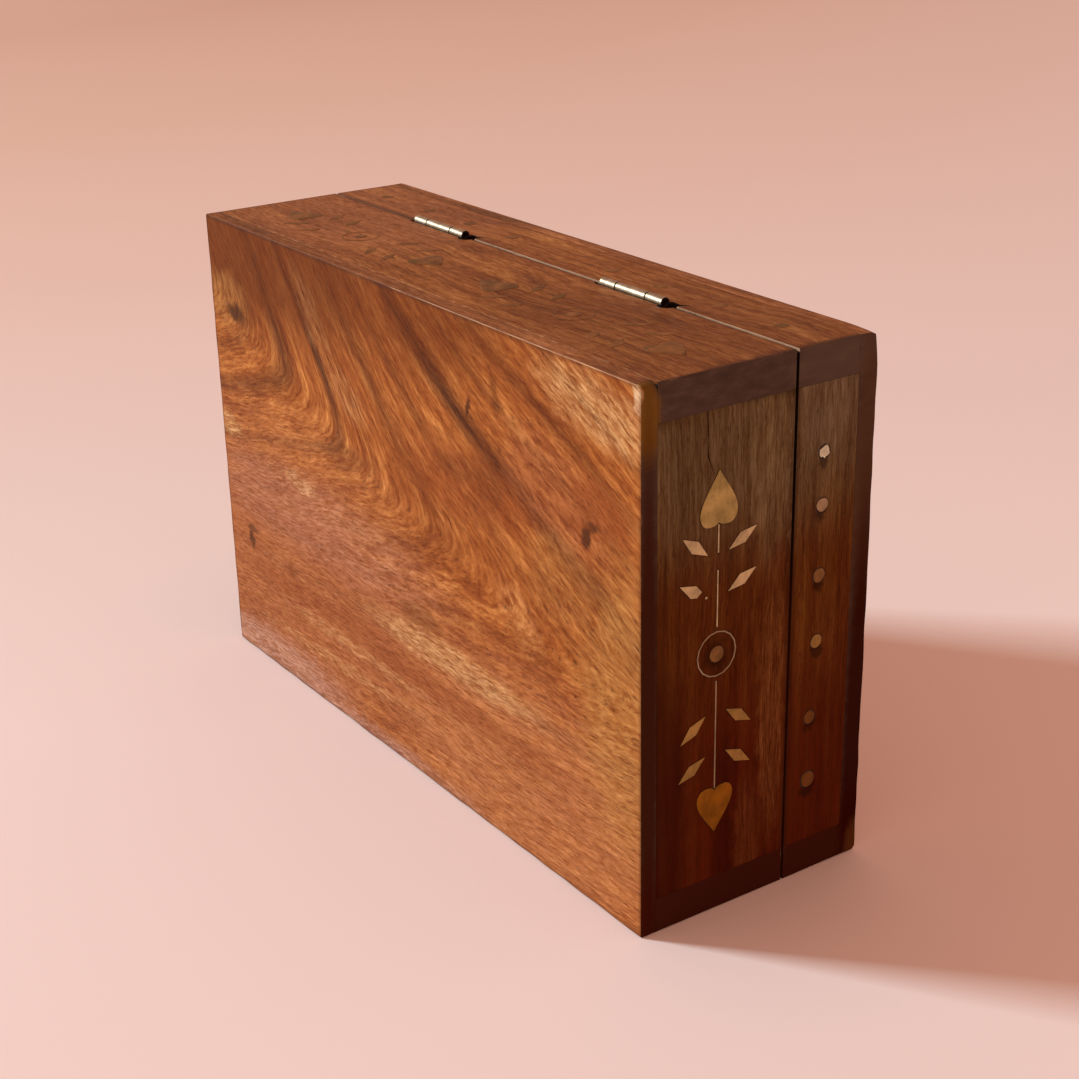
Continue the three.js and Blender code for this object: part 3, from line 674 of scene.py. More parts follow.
def end_board_wood(dark_patches):
    """The ends, with upright lines. Their greyish upper part is a painted reflection of the pale room, and
    their red-brown lower part, darkest low down beside the bottom board, is painted shade: the shadowed floor
    that they reflect. They are paler towards the parting, and darker under the dots."""
    layers = [
        # Painted reflection: the upper part and the lid's end are greyed, as the end reflects the pale room
        ("#6A583E", 0.3, [((97.0, -4.0, 122.0), (90.0, 70.0, 50.0), 0, 0.85)]),
        ("#7C6854", 0.4, [((97.0, 20.0, 118.0), (90.0, 14.0, 24.0), 0, 0.45)]),
        # Painted shade: red-brown to near black lower down, darkest beside the bottom board, as the end
        # reflects the shadowed floor
        ("#5E2E0E", 0.3, [((97.0, 0.0, 62.0), (90.0, 90.0, 34.0), 0, 0.6)]),
        ("#501404", 0.35, [((97.0, 0.0, -4.0), (90.0, 90.0, 84.0), 0, 0.95)]),
        ("#2C0A02", 0.4, [((97.0, -27.0, 26.0), (90.0, 11.0, 60.0), 0, 0.65),
                          ((97.0, -9.0, 20.0), (90.0, 4.0, 40.0), 0, 0.5)]),
        ("#86704E", 0.6, [((97.0, 2.4, 102.0), (90.0, 7.0, 28.0), 0, 0.5)]),
        ("#80522A", 0.7, [((97.0, 4.2, 48.0), (90.0, 5.2, 44.0), 0, 0.62),
                          ((97.0, -2.0, 14.0), (90.0, 5.0, 22.0), 0, 0.3)]),
        ("#56382A", 0.5, [((-97.0, 0.0, 63.0), (60.0, RIGHT_THROUGH, RIGHT_THROUGH), 0, 0.5)]),
        ("#4C2010", 0.35, [((-97.0, 0.0, 4.0), (60.0, RIGHT_THROUGH, 96.0), 0, 0.7)]),
        ("#98805E", 0.5, [((97.0, BASE_RIM_Y / MM - 0.2, 99.0), (90.0, 0.5, 26.0), 0, 0.35)]),
        ("#1A0A06", 0.1, dark_patches),
    ]
    return sheesham(
        "Sheesham, dark and oiled",
        lambda tree, place: straight_figure(tree, place, 2, 1, 11.0, 5.0), wood_tones("end"), layers,
        rub=-0.12, depth=0.72, stroke=(0.4, 6.0), shine=0.02, through=0.22)


# The end grain at the right end, as the bottom board's and the foot's, then the hinged side's and the top
# board's, then all that of the left end, and two rubbed corners. At the right end, as on the end boards, it
# is painted darker low down as shade and greyer at the top of the hinged side as a reflection.
END_GRAIN_LAYERS = [
    ("#7C561E", 0.2, [((97.0, -30.0, 120.0), (12.0, 3.8, 13.0), 0, 0.95)]),
    # Painted shade: this layer, the foot's and the top board's lower one darken the right end low down
    ("#3A1604", 0.2, [((97.0, -30.0, 52.0), (12.0, 3.8, 88.0), 0, 0.95)]),
    ("#3E1206", 0.2, [((97.0, 0.0, -2.0), (90.0, 90.0, 30.0), 0, 0.95)]),
    # Painted reflection: greyish at the top of the hinged side's end grain
    ("#625244", 0.2, [((97.0, 20.0, 124.0), (12.0, 16.0, 10.0), 0, 0.6)]),
    ("#563A27", 0.2, [((97.0, 30.0, 94.0), (12.0, 5.6, 46.0), 0, 0.9)]),
    ("#300600", 0.2, [((97.0, 30.0, 30.0), (12.0, 5.6, 80.0), 0, 0.95)]),
    ("#55351F", 0.2, [((-97.0, 0.0, 63.0), (40.0, RIGHT_THROUGH, RIGHT_THROUGH), 0, 0.85)]),
    ("#6E4626", 0.4, [((97.0, 31.0, 1.0), (12.0, 4.0, 10.0), 0, 0.65)]),
    ("#C49A6C", 0.4, [((96.6, -31.9, 125.9), (2.6, 1.2, 3.4), 0, 1.0)]),
]


def end_grain_wood():
    """Sheesham sawn across: dark from the oil it drank, with pores as dots instead of lines. At the right end
    it also carries painted shade low down and a painted greyish reflection at the top.
    """
    material, tree = new_material("Sheesham end grain, oiled")
    place = millimetres(tree)
    rings = add(tree, "VectorMath", {0: place, 1: (0.02, 0.16, 0.5)}, operation="MULTIPLY")
    growth = add(tree, "TexNoise", {"Vector": rings, "Scale": 1.0, "Detail": 4.0, "Roughness": 0.6})
    dots = add(tree, "TexVoronoi", {"Vector": place, "Scale": 2.2})
    colour = add(
        tree, "ValToRGB", {"Fac": growth}, stops=[(0.3, "#483830"), (0.52, "#524037"), (0.7, "#5C493E")])
    colour = washed(tree, ragged(tree, place, 3.0, 2.0), growth, colour, END_GRAIN_LAYERS)
    pore = add(
        tree, "MapRange",
        {"Value": dots, "From Min": 0.1, "From Max": 0.24, "To Min": 0.3, "To Max": 0.0})
    colour = add(tree, "Mix", {"Factor": pore, "A": colour, "B": srgb("#241009")}, data_type="RGBA")
    near = add(
        tree, "MapRange",
        {"Value": edge_distance(tree, place), "From Min": 0.1, "From Max": 0.5, "To Min": 1.0, "To Max": 0.0})
    rubs = add(tree, "TexNoise", {"Vector": place, "Scale": 1 / 7, "Detail": 4.0, "Roughness": 0.65})
    rubbed = add(tree, "Math", {0: near, 1: 0.3, 2: rubs}, operation="MULTIPLY_ADD")
    worn = add(tree, "MapRange", {"Value": rubbed, "From Min": 0.8, "From Max": 1.0, "To Max": 0.5})
    colour = add(tree, "Mix", {"Factor": worn, "A": colour, "B": srgb("#B58A62")}, data_type="RGBA")
    bump = add(tree, "Bump", {"Height": growth, "Strength": 0.4, "Distance": 0.05 * MM})
    shader = add(
        tree, "BsdfPrincipled",
        {"Base Color": colour, "Roughness": 0.55, "Normal": bump, "Specular IOR Level": 0.0})
    add(tree, "OutputMaterial", {"Surface": shader})
    return material


def chiselled_wood():
    """Wood cut away by hand for the hinges, without shine: near black, partly from old oil and dust and
    partly as painted shade down in the pits
    """
    material, tree = new_material("Sheesham, chiselled, grimy and painted dark as shade")
    place = millimetres(tree)
    crumbs = add(tree, "TexNoise", {"Vector": place, "Scale": 1 / 0.8, "Detail": 4.0, "Roughness": 0.65})
    # Painted shade with grime: near black, for the shade inside the pits
    colour = add(tree, "ValToRGB", {"Fac": crumbs}, stops=[(0.35, "#0F0704"), (0.6, "#24120A")])
    bump = add(tree, "Bump", {"Height": crumbs, "Strength": 0.6, "Distance": 0.15 * MM})
    shader = add(
        tree, "BsdfPrincipled",
        {"Base Color": colour, "Roughness": 0.8, "Normal": bump, "Specular IOR Level": 0.1})
    add(tree, "OutputMaterial", {"Surface": shader})
    return material


# What can be seen of the lid's rim down the gap: rubbed pale by the hinges, brown elsewhere
RIM_LAYERS = [
    ("#84502F", 0.3, [((-88.0, 9.8, 127.2), (56.0, 2.0, 1.4), 0, 0.9)]),
    ("#5A2410", 0.3, [((97.5, 9.3, 22.0), (2.6, 4.0, 80.0), 0, 0.6)]),
    ("#BE967A", 0.25, [((14.0, 9.8, 127.2), (78.0, 2.0, 1.4), 0, 0.9),
                       ((88.0, 9.8, 127.2), (50.0, 2.0, 1.4), 0, 0.9)]),
]


def raw_wood(name, along):
    """Sheesham as the plane left it, inside the box: paler, dry and without shine, its grain along one axis.
    The rims are darker near the outside, and rubbed pale where the lid's rim shows above the hinges' gap."""
    material, tree = new_material(name)
    place = millimetres(tree)
    drawn_out = tuple(1 / 50 if axis == along else 1 / 1.6 for axis in range(3))
    drawn = add(tree, "VectorMath", {0: place, 1: drawn_out}, operation="MULTIPLY")
    grain = add(tree, "TexNoise", {"Vector": drawn, "Scale": 1.0, "Detail": 5.0, "Roughness": 0.62})
    colour = add(
        tree, "ValToRGB", {"Fac": grain}, stops=[(0.3, "#5E3A24"), (0.5, "#86583A"), (0.7, "#A87A54")])
    depth = depths(tree, place)
    from_outside = add(tree, "Math", {0: depth.outputs["X"], 1: depth.outputs["Z"]}, operation="MINIMUM")
    # Darker near the outside of the box
    grime = add(
        tree, "MapRange",
        {"Value": from_outside, "From Min": 0.8, "From Max": 3.4, "To Min": 1.0, "To Max": 0.0})
    colour = add(tree, "Mix", {"Factor": grime, "A": colour, "B": srgb("#1A0C06")}, data_type="RGBA")
    colour = washed(tree, ragged(tree, place, 3.0, 1.2), grain, colour, RIM_LAYERS)
    bump = add(tree, "Bump", {"Height": grain, "Strength": 0.5, "Distance": 0.08 * MM})
    shader = add(
        tree, "BsdfPrincipled",
        {"Base Color": colour, "Roughness": 0.7, "Normal": bump, "Specular IOR Level": 0.2})
    add(tree, "OutputMaterial", {"Surface": shader})
    return material


# Metal

# Each tint is the clean metal's colour. The lower pieces are tinted browner than the upper ones.
BRASS_TINTS = {
    "bright": "#E6E0C0",
    "pale": "#C9B488",
    "olive": "#B49C60",
    "dusty": "#AC9270",
    "worn": "#AC8B4E",
    "golden": "#9C6818",
    "brown": "#8A663C",
    "dim": "#7A5228",
}
TINT_OF = [
    ("upper_heart", "olive"), ("lower_heart", "golden"), ("centre_disc", "brown"), ("lower_stem", "dusty"),
    ("lower", "worn"), ("ring", "dusty"), ("dot_1", "bright"), ("dot_2", "dusty"), ("dot_4", "worn"),
    ("dot_5", "dim"), ("dot_6", "dim"), ("dot", "brown"), ("upper", "pale"),
]


def brass(name, clean):
    """Sheet brass filed flush with the wood: slow clouds of tarnish, soft unevenness from the file, fine
    scratches. Clean is the metal's own colour."""
    material, tree = new_material(name)
    place = millimetres(tree)
    cloudy = add(tree, "TexNoise", {"Vector": place, "Scale": 1 / 4.5, "Detail": 3.0, "Roughness": 0.6})
    specks = add(tree, "TexNoise", {"Vector": place, "Scale": 1 / 0.5, "Detail": 3.0, "Roughness": 0.7})
    # A file's scratches are finer than this, and are drawn as coarse as they need to show
    brushed = add(tree, "VectorMath", {0: place, 1: (1 / 1.0, 1 / 0.22, 1 / 3.5)}, operation="MULTIPLY")
    scratches = add(tree, "TexNoise", {"Vector": brushed, "Scale": 1.0, "Detail": 3.0, "Roughness": 0.7})
    light = add(
        tree, "MapRange",
        {"Value": cloudy, "From Min": 0.35, "From Max": 0.65, "To Min": 0.72, "To Max": 1.16})
    light = add(tree, "Math", {0: scratches, 1: 0.5, 2: light}, operation="MULTIPLY_ADD")
    light = add(tree, "Math", {0: light, 1: 0.25}, operation="SUBTRACT")
    colour = add(tree, "VectorMath", {0: srgb(clean)[:3], "Scale": light}, operation="SCALE")
    spotted = add(
        tree, "MapRange", {"Value": specks, "From Min": 0.6, "From Max": 0.72, "To Max": 0.5})
    colour = add(tree, "Mix", {"Factor": spotted, "A": colour, "B": srgb("#4A2A14")}, data_type="RGBA")
    rough = add(
        tree, "MapRange",
        {"Value": cloudy, "From Min": 0.3, "From Max": 0.7,
         "To Min": 0.52, "To Max": 0.34})
    height = add(
        tree, "Math", {0: cloudy, 1: 3.0, 2: scratches}, operation="MULTIPLY_ADD")
    bump = add(tree, "Bump", {"Height": height, "Strength": 0.5, "Distance": 0.06 * MM})
    metal = add(
        tree, "MapRange",
        {"Value": specks, "From Min": 0.5, "From Max": 0.7, "To Min": 1.0, "To Max": 0.75})
    shader = add(
        tree, "BsdfPrincipled",
        {"Base Color": colour, "Metallic": metal, "Roughness": rough, "Normal": bump})
    add(tree, "OutputMaterial", {"Surface": shader})
    return material


def oiled_brass():
    """Brass under old oil and handling: brown, barely shining, hardly told from the wood"""
    material, tree = new_material("Brass under old oil")
    place = millimetres(tree)
    cloudy = add(tree, "TexNoise", {"Vector": place, "Scale": 1 / 3.5, "Detail": 4.0, "Roughness": 0.6})
    colour = add(
        tree, "ValToRGB", {"Fac": cloudy}, stops=[(0.35, "#5E3A16"), (0.5, "#704420"), (0.65, "#86522A")])
    shader = add(
        tree, "BsdfPrincipled",
        {"Base Color": colour, "Metallic": 0.15, "Roughness": 0.55, "Specular IOR Level": 0.1})
    add(tree, "OutputMaterial", {"Surface": shader})
    return material


def tint_of(node):
    """Which tint a brass piece has, by its name"""
    return next(tint for part, tint in TINT_OF if part in node)


def hinge_steel(name, tones, grimy=()):
    """Plated steel rolled from sheet, dulled by handling: fine lines along it, a little brown bloom, and dark
    grime in the spots called grimy. Tones run from dark to pale."""
    material, tree = new_material(name)
    place = millimetres(tree)
    bloom = add(tree, "TexNoise", {"Vector": place, "Scale": 1 / 1.5, "Detail": 4.0, "Roughness": 0.65})
    # Rolling lines are finer than this, and are drawn as coarse as they need to show
    drawn = add(tree, "VectorMath", {0: place, 1: (1 / 6.0, 1 / 0.3, 1 / 0.3)}, operation="MULTIPLY")
    lines = add(tree, "TexNoise", {"Vector": drawn, "Scale": 1.0, "Detail": 3.0, "Roughness": 0.7})
    colour = add(tree, "ValToRGB", {"Fac": bloom}, stops=list(zip((0.3, 0.5, 0.7), tones)))
    if grimy:
        dark = spots(tree, place, grimy)
        colour = add(tree, "Mix", {"Factor": dark, "A": colour, "B": srgb("#1E130C")}, data_type="RGBA")
    rough = add(
        tree, "MapRange",
        {"Value": bloom, "From Min": 0.3, "From Max": 0.7, "To Min": 0.48, "To Max": 0.42})
    bump = add(tree, "Bump", {"Height": lines, "Strength": 0.1, "Distance": 0.02 * MM})
    shader = add(
        tree, "BsdfPrincipled", {"Base Color": colour, "Metallic": 1.0, "Roughness": rough, "Normal": bump})
    add(tree, "OutputMaterial", {"Surface": shader})
    return material


def rust_and_painted_shade():
    """Rust and old oil on the pins and in the joints between knuckles, and painted shade on the open ends of
    the barrels: near black and dull
    """
    material, tree = new_material("Rust, old oil and painted shade")
    place = millimetres(tree)
    grit = add(tree, "TexNoise", {"Vector": place, "Scale": 1 / 0.4, "Detail": 3.0})
    colour = add(tree, "ValToRGB", {"Fac": grit}, stops=[(0.35, "#0C0604"), (0.65, "#20110A")])
    shader = add(tree, "BsdfPrincipled", {"Base Color": colour, "Roughness": 0.75, "Specular IOR Level": 0.2})
    add(tree, "OutputMaterial", {"Surface": shader})
    return material


def glue():
    """Old lac and sawdust rubbed in around the brass: near black and dull"""
    material, tree = new_material("Lac and sawdust")
    place = millimetres(tree)
    grit = add(tree, "TexNoise", {"Vector": place, "Scale": 1 / 0.3, "Detail": 3.0})
    colour = add(tree, "ValToRGB", {"Fac": grit}, stops=[(0.35, "#1A0C07"), (0.65, "#33190F")])
    shader = add(tree, "BsdfPrincipled", {"Base Color": colour, "Roughness": 0.7})
    add(tree, "OutputMaterial", {"Surface": shader})
    return material


# Shapes

# A corner closer than this to a cut lies on it
CUT_TOLERANCE = 0.02 * MM
# A point nearer than this to an outer side lies on it
ON_SIDE = 0.01 * MM
# How worn an arris is where its wear, which comes and goes in stretches, is at its middle
MIDDLE_WEAR = 0.35
# A side wanders from flat over this many stretches of wear, around a share of its hollow and by a share of it
HOLLOW_STRETCHES = 6
HOLLOW_MIDDLE = 0.75
HOLLOW_SWING = 0.25
# What was chiselled for a hinge: from and to these depths under the hinged side, so far to each side of the
# parting, and so far past the hinge's ends
PIT_TOP = 0.15 * MM
PIT_BOTTOM = 4.2 * MM
PIT_ASIDE = 6.0 * MM
PIT_PAST = 9.0 * MM
# A face whose middle lies deeper than this under the outer sides is inside
SKIN = 0.9 * MM
# The materials of a board, in the order of its slots: its broad outer side, the end grain outside, the bare
# inside and the rims, its narrow outer sides, and what was chiselled for a hinge
BROAD, END_GRAIN, BARE, NARROW, CHISELLED = range(5)
# From the parting's middle to the face of a hinge leaf
LEAF_FACE = 0.05 * MM
SCREW_SIDES = 28
# Where the dots lie along the lid's back, in millimetres from its middle, and their sides and thickness
BACK_DOTS = (-84.0, -61.5, -41.5, -21.5, 21.5, 40.0, 61.5, 82.0)
BACK_DOT_SIDES = 24
BACK_DOT_DEPTH = 0.6 * MM


def inset_of(point):
    """How deep a point is under each pair of the box's outer planes"""
    return [half - abs(part - centre) for part, centre, half in zip(point, SHELL_CENTRE, SHELL_HALF)]


def sliced(bm, axis, step):
    """Cuts a mesh across at even steps, so that it can be worn unevenly"""
    places = [vert.co[axis] for vert in bm.verts]
    low, high = min(places), max(places)
    count = max(1, round((high - low) / step))
    normal = Vector([float(i == axis) for i in range(3)])
    for i in range(1, count):
        place = normal * (low + (high - low) * i / count)
        bmesh.ops.bisect_plane(
            bm, geom=bm.verts[:] + bm.edges[:] + bm.faces[:], plane_co=place, plane_no=normal,
            dist=CUT_TOLERANCE)


def wear_down(bm, settings):
    """Rubs the outer edges back in uneven stretches and takes the dead flatness off the outer sides"""
    for vert in bm.verts:
        inset = inset_of(vert.co)
        to_edge = sorted(inset)[1]
        stretch = max(0.0, MIDDLE_WEAR + noise.noise(vert.co / settings.dent_size))
        sway = noise.noise(vert.co / (HOLLOW_STRETCHES * settings.dent_size))
        rubbed = settings.arris_wear * stretch * max(0.0, 1 - to_edge / settings.arris_reach)
        to_corner = (vert.co - SHELL_HIGH).length / settings.corner_reach
        rubbed += settings.corner_wear * max(0.0, 1 - to_corner) ** 2
        hollow = settings.hollow * (HOLLOW_MIDDLE + HOLLOW_SWING * max(-1.0, min(1.0, sway)))
        for axis in range(3):
            if inset[axis] < settings.arris_reach:
                inward = -math.copysign(1.0, vert.co[axis] - SHELL_CENTRE[axis])
                vert.co[axis] += inward * (rubbed + (hollow if inset[axis] < ON_SIDE else 0.0))


def by_a_hinge(point):
    """Whether a point lies in the pits and slots that were chiselled for the hinges"""
    deep = SHELL_HIGH.z - point.z
    aside = abs(point.y - PARTING_Y)
    if not PIT_TOP <= deep <= PIT_BOTTOM or aside > PIT_ASIDE or abs(aside - HALF_GAP) < IN_PLANE:
        return False
    return any(low.x - PIT_PAST < point.x < high.x + PIT_PAST for low, high in HINGE_BOXES)


def mark_faces(bm, broad, end_grain):
    """Gives each face of a board its material. Broad is the axis that its broad outer side faces along."""
    for face in bm.faces:
        middle = face.calc_center_median()
        on_rim = abs(face.normal.y) > 0.9 and abs(abs(middle.y - PARTING_Y) - HALF_GAP) < IN_PLANE
        if by_a_hinge(middle):
            face.material_index = CHISELLED
        elif on_rim or min(inset_of(middle)) > SKIN:
            face.material_index = BARE
        elif end_grain and abs(face.normal.x) > 0.25:
            face.material_index = END_GRAIN
        elif abs(face.normal[broad]) < 0.7:
            face.material_index = NARROW
        else:
            face.material_index = BROAD


def slotted_head(radius, slot, depth):
    """A flat round screw head with one slot, facing up with its top at height 0"""
    bm = bmesh.new()
    bmesh.ops.create_circle(bm, cap_ends=True, segments=SCREW_SIDES, radius=radius)
    for side in (-0.5, 0.5):
        bmesh.ops.bisect_plane(
            bm, geom=bm.verts[:] + bm.edges[:] + bm.faces[:], plane_co=(0, side * slot, 0),
            plane_no=(0, 1, 0))
    cut = [face for face in bm.faces if abs(face.calc_center_median().y) < slot / 2]
    sunk = bmesh.ops.extrude_face_region(bm, geom=cut)["geom"]
    bmesh.ops.translate(
        bm, verts=[part for part in sunk if isinstance(part, bmesh.types.BMVert)], vec=(0, 0, -depth))
    rim = [edge for edge in bm.edges if edge.is_boundary]
    for part in bmesh.ops.extrude_edge_only(bm, edges=rim)["geom"]:
        if isinstance(part, bmesh.types.BMVert):
            part.co.z = -2 * depth
    bmesh.ops.recalc_face_normals(bm, faces=bm.faces)
    mesh = bpy.data.meshes.new("screw head")
    bm.to_mesh(mesh)
    bm.free()
    return mesh


def copied(names, place):
    """The same pieces as elsewhere on the box, in one new mesh, each point moved by a function"""
    joined = bmesh.new()
    for name in names:
        bm = merged_copy(name)
        for vert in bm.verts:
            vert.co = place(vert.co)
        mesh = bpy.data.meshes.new("part of a copy")
        bm.to_mesh(mesh)
        bm.free()
        joined.from_mesh(mesh)
        bpy.data.meshes.remove(mesh)
    return joined


def worn_board(node, body, finish, settings, broad, edge=None, end_grain=True, axes=(0, 2)):
    """A board worn at its edges, with its finish on its broad side and its edge's on the narrow ones. It is
    sliced along its axes first. Inside it is bare, and where it has end grain, that shows at its ends."""
    bm = merged_copy(node)
    for axis in axes:
        sliced(bm, axis, settings.slice_length)
    mark_faces(bm, broad, end_grain)
    wear_down(bm, settings)
    sawn, bare, chiselled = [bpy.data.materials[name] for name in (
        "Sheesham end grain, oiled", "Sheesham, planed and bare" + ("" if end_grain else ", ends"),
        "Sheesham, chiselled, grimy and painted dark as shade")]
    piece = finished(
        bm, node.replace("_board", "_worn_board"), body,
        [finish, sawn, bare, edge or finish, chiselled], smooth_angle=40)
    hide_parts(node)
    return piece


def dot_dark_patches():
    """Dark brown patches below the dots and round the disc, as spots for the end boards' wood"""
    marks = []
    for node in INLAYS["lid"] + [name for name in INLAYS["base"] if "centre_disc" in name]:
        low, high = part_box(node)
        centre = (low + high) / 2 / MM
        radius = (high.z - low.z) / 2 / MM
        marks.append(((centre.x, centre.y, centre.z - radius), (2.0, 1.5 * radius, 1.7 * radius), 0, 0.65))
        if "disc" in node:
            marks.append((tuple(centre), (2.0, 2.9 * radius, 2.9 * radius), 0, 0.5))
    return marks


# Operators

class INLAIDBOX_OT_boards(Operator):
    """Replaces the ten boards with worn ones in oiled sheesham"""
    bl_idname = "inlaid_box.boards"
    bl_label = "Boards"

    def execute(self, context):
        settings = context.scene.inlaid_box_boards
        end_grain_wood()
        raw_wood("Sheesham, planed and bare", 0)
        raw_wood("Sheesham, planed and bare, ends", 2)
        chiselled_wood()
        long_wood = long_board_wood()
        edge_wood = thin_edge_wood()
        worn_board("base_bottom_board", "base", bottom_board_wood(), settings, 1, edge_wood)
        worn_board("lid_top_board", "lid", lid_top_wood(), settings, 1, edge_wood)
        for body, nodes in LONG_BOARDS.items():
            for node in nodes:
                worn_board(node, body, long_wood, settings, 2, axes=(0,))
        dark_wood = end_board_wood(dot_dark_patches())
        for body, nodes in END_BOARDS.items():
            for node in nodes:
                worn_board(node, body, dark_wood, settings, 0, end_grain=False, axes=(2,))
        return {"FINISHED"}


class INLAIDBOX_OT_inlay(Operator):
    """Gives the brass inlay of the ends its filed edges and metal, and lays the dark glue around it"""
    bl_idname = "inlaid_box.inlay"
    bl_label = "End inlay"

    def execute(self, context):
        settings = context.scene.inlaid_box_inlay
        metals = {tint: brass(f"Brass, filed flush, {tint}", tone) for tint, tone in BRASS_TINTS.items()}
        lac = glue()
        for body, nodes in INLAYS.items():
            for node in nodes:
                piece = self.cut_dot(node, body, settings) if "_dot_" in node else frame["nodes"][node]
                piece.data.materials.clear()
                piece.data.materials.append(metals[tint_of(node)])
                weld = piece.modifiers.new("Join", "WELD")
                weld.merge_threshold = WELD
                if "stem" in node or "ring" in node:
                    flush = piece.modifiers.new("Filed flush", "DISPLACE")
                    flush.strength = -settings.wire_filed
                    flush.mid_level = 0.0
                bevel = piece.modifiers.new("Filed edge", "BEVEL")
                bevel.width = settings.soft_edge
                bevel.segments = 2
                bevel.limit_method = "ANGLE"
                bevel.angle_limit = math.radians(40)
            for side in ("right", "left"):
                around = [name for name in nodes if name.startswith(side)]
                self.lay_glue(around, f"{side}_{body}_glue", body, lac, settings)
        return {"FINISHED"}

    def cut_dot(self, node, body, settings):
        """A dot snipped from wire by hand, not quite round. The first of each row is torn."""
        bm = merged_copy(node)
        low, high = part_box(node)
        centre = (low + high) / 2
        # The most that the outline loses, and how often that comes and goes around it
        torn = "_dot_1" in node
        lost, waves = (settings.dot_torn, 2.6) if torn else (settings.dot_uneven, 1.2)
        seed = Vector((int(node[-1]) * 3.7, 0, 0))
        for vert in bm.verts:
            away = Vector((0, vert.co.y - centre.y, vert.co.z - centre.z))
            share = 0.5 + 0.9 * noise.noise(away.normalized() * waves + seed)
            vert.co -= away * lost * min(1.0, max(0.0, share))
        piece = finished(bm, node + "_cut", body, [])
        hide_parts(node)
        return piece

    def lay_glue(self, nodes, name, body, material, settings):
        """The glue around some pieces, a little wider than they are and a little below the wood"""
        joined = copied(nodes, lambda point: point)
        joined.normal_update()
        surface = SHELL_HIGH.x - settings.glue_depth
        for vert in joined.verts:
            # Points in the middle of a flat face have nothing outward and stay
            outward = Vector((0, vert.normal.y, vert.normal.z))
            if outward.length > 0.05:
                vert.co += outward.normalized() * settings.glue_width
            if abs(vert.co.x) > surface:
                vert.co.x = math.copysign(surface, vert.co.x)
        finished(joined, name, body, [material])


class INLAIDBOX_OT_back_inlay(Operator):
    """Lays the same inlay in the back boards and the lid's top, browned on the back where hands rubbed oil
    over it"""
    bl_idname = "inlaid_box.back_inlay"
    bl_label = "Back and lid inlay"

    def execute(self, context):
        settings = context.scene.inlaid_box_inlay
        brown = oiled_brass()
        metal = bpy.data.materials["Brass, filed flush, worn"]
        names = [name for name in INLAYS["base"] if name.startswith("right")]
        low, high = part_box("right_base_centre_disc")
        middle = (low + high) / 2
        scale = settings.back_scale
        for side, name in ((-1, "left"), (1, "right")):
            def on_back(point, side=side):
                away = point - middle
                return Vector((
                    side * settings.back_spread - away.z * scale, settings.back_line + away.y * scale,
                    SHELL_HIGH.z + point.x - SHELL_HIGH.x - settings.sunk))
            motif = copied(names, on_back)
            finished(motif, f"base_back_inlay_{name}", "base", [brown], 40)
        dots = bmesh.new()
        radius = settings.back_dot_radius
        for place in BACK_DOTS:
            centre = (place * MM, settings.lid_line, SHELL_HIGH.z - BACK_DOT_DEPTH / 2)
            bmesh.ops.create_cone(
                dots, cap_ends=True, segments=BACK_DOT_SIDES, radius1=radius, radius2=radius,
                depth=BACK_DOT_DEPTH, matrix=Matrix.Translation(centre))
        finished(dots, "lid_back_inlay", "lid", [brown], 40)

        def on_lid(point):
            away = point - middle
            return Vector((
                -away.z * settings.lid_scale, SHELL_HIGH.y + point.x - SHELL_HIGH.x - settings.sunk,
                SHELL_CENTRE.z - away.y * settings.lid_scale))
        finished(copied(names, on_lid), "lid_top_inlay", "lid", [metal], 40)
        return {"FINISHED"}


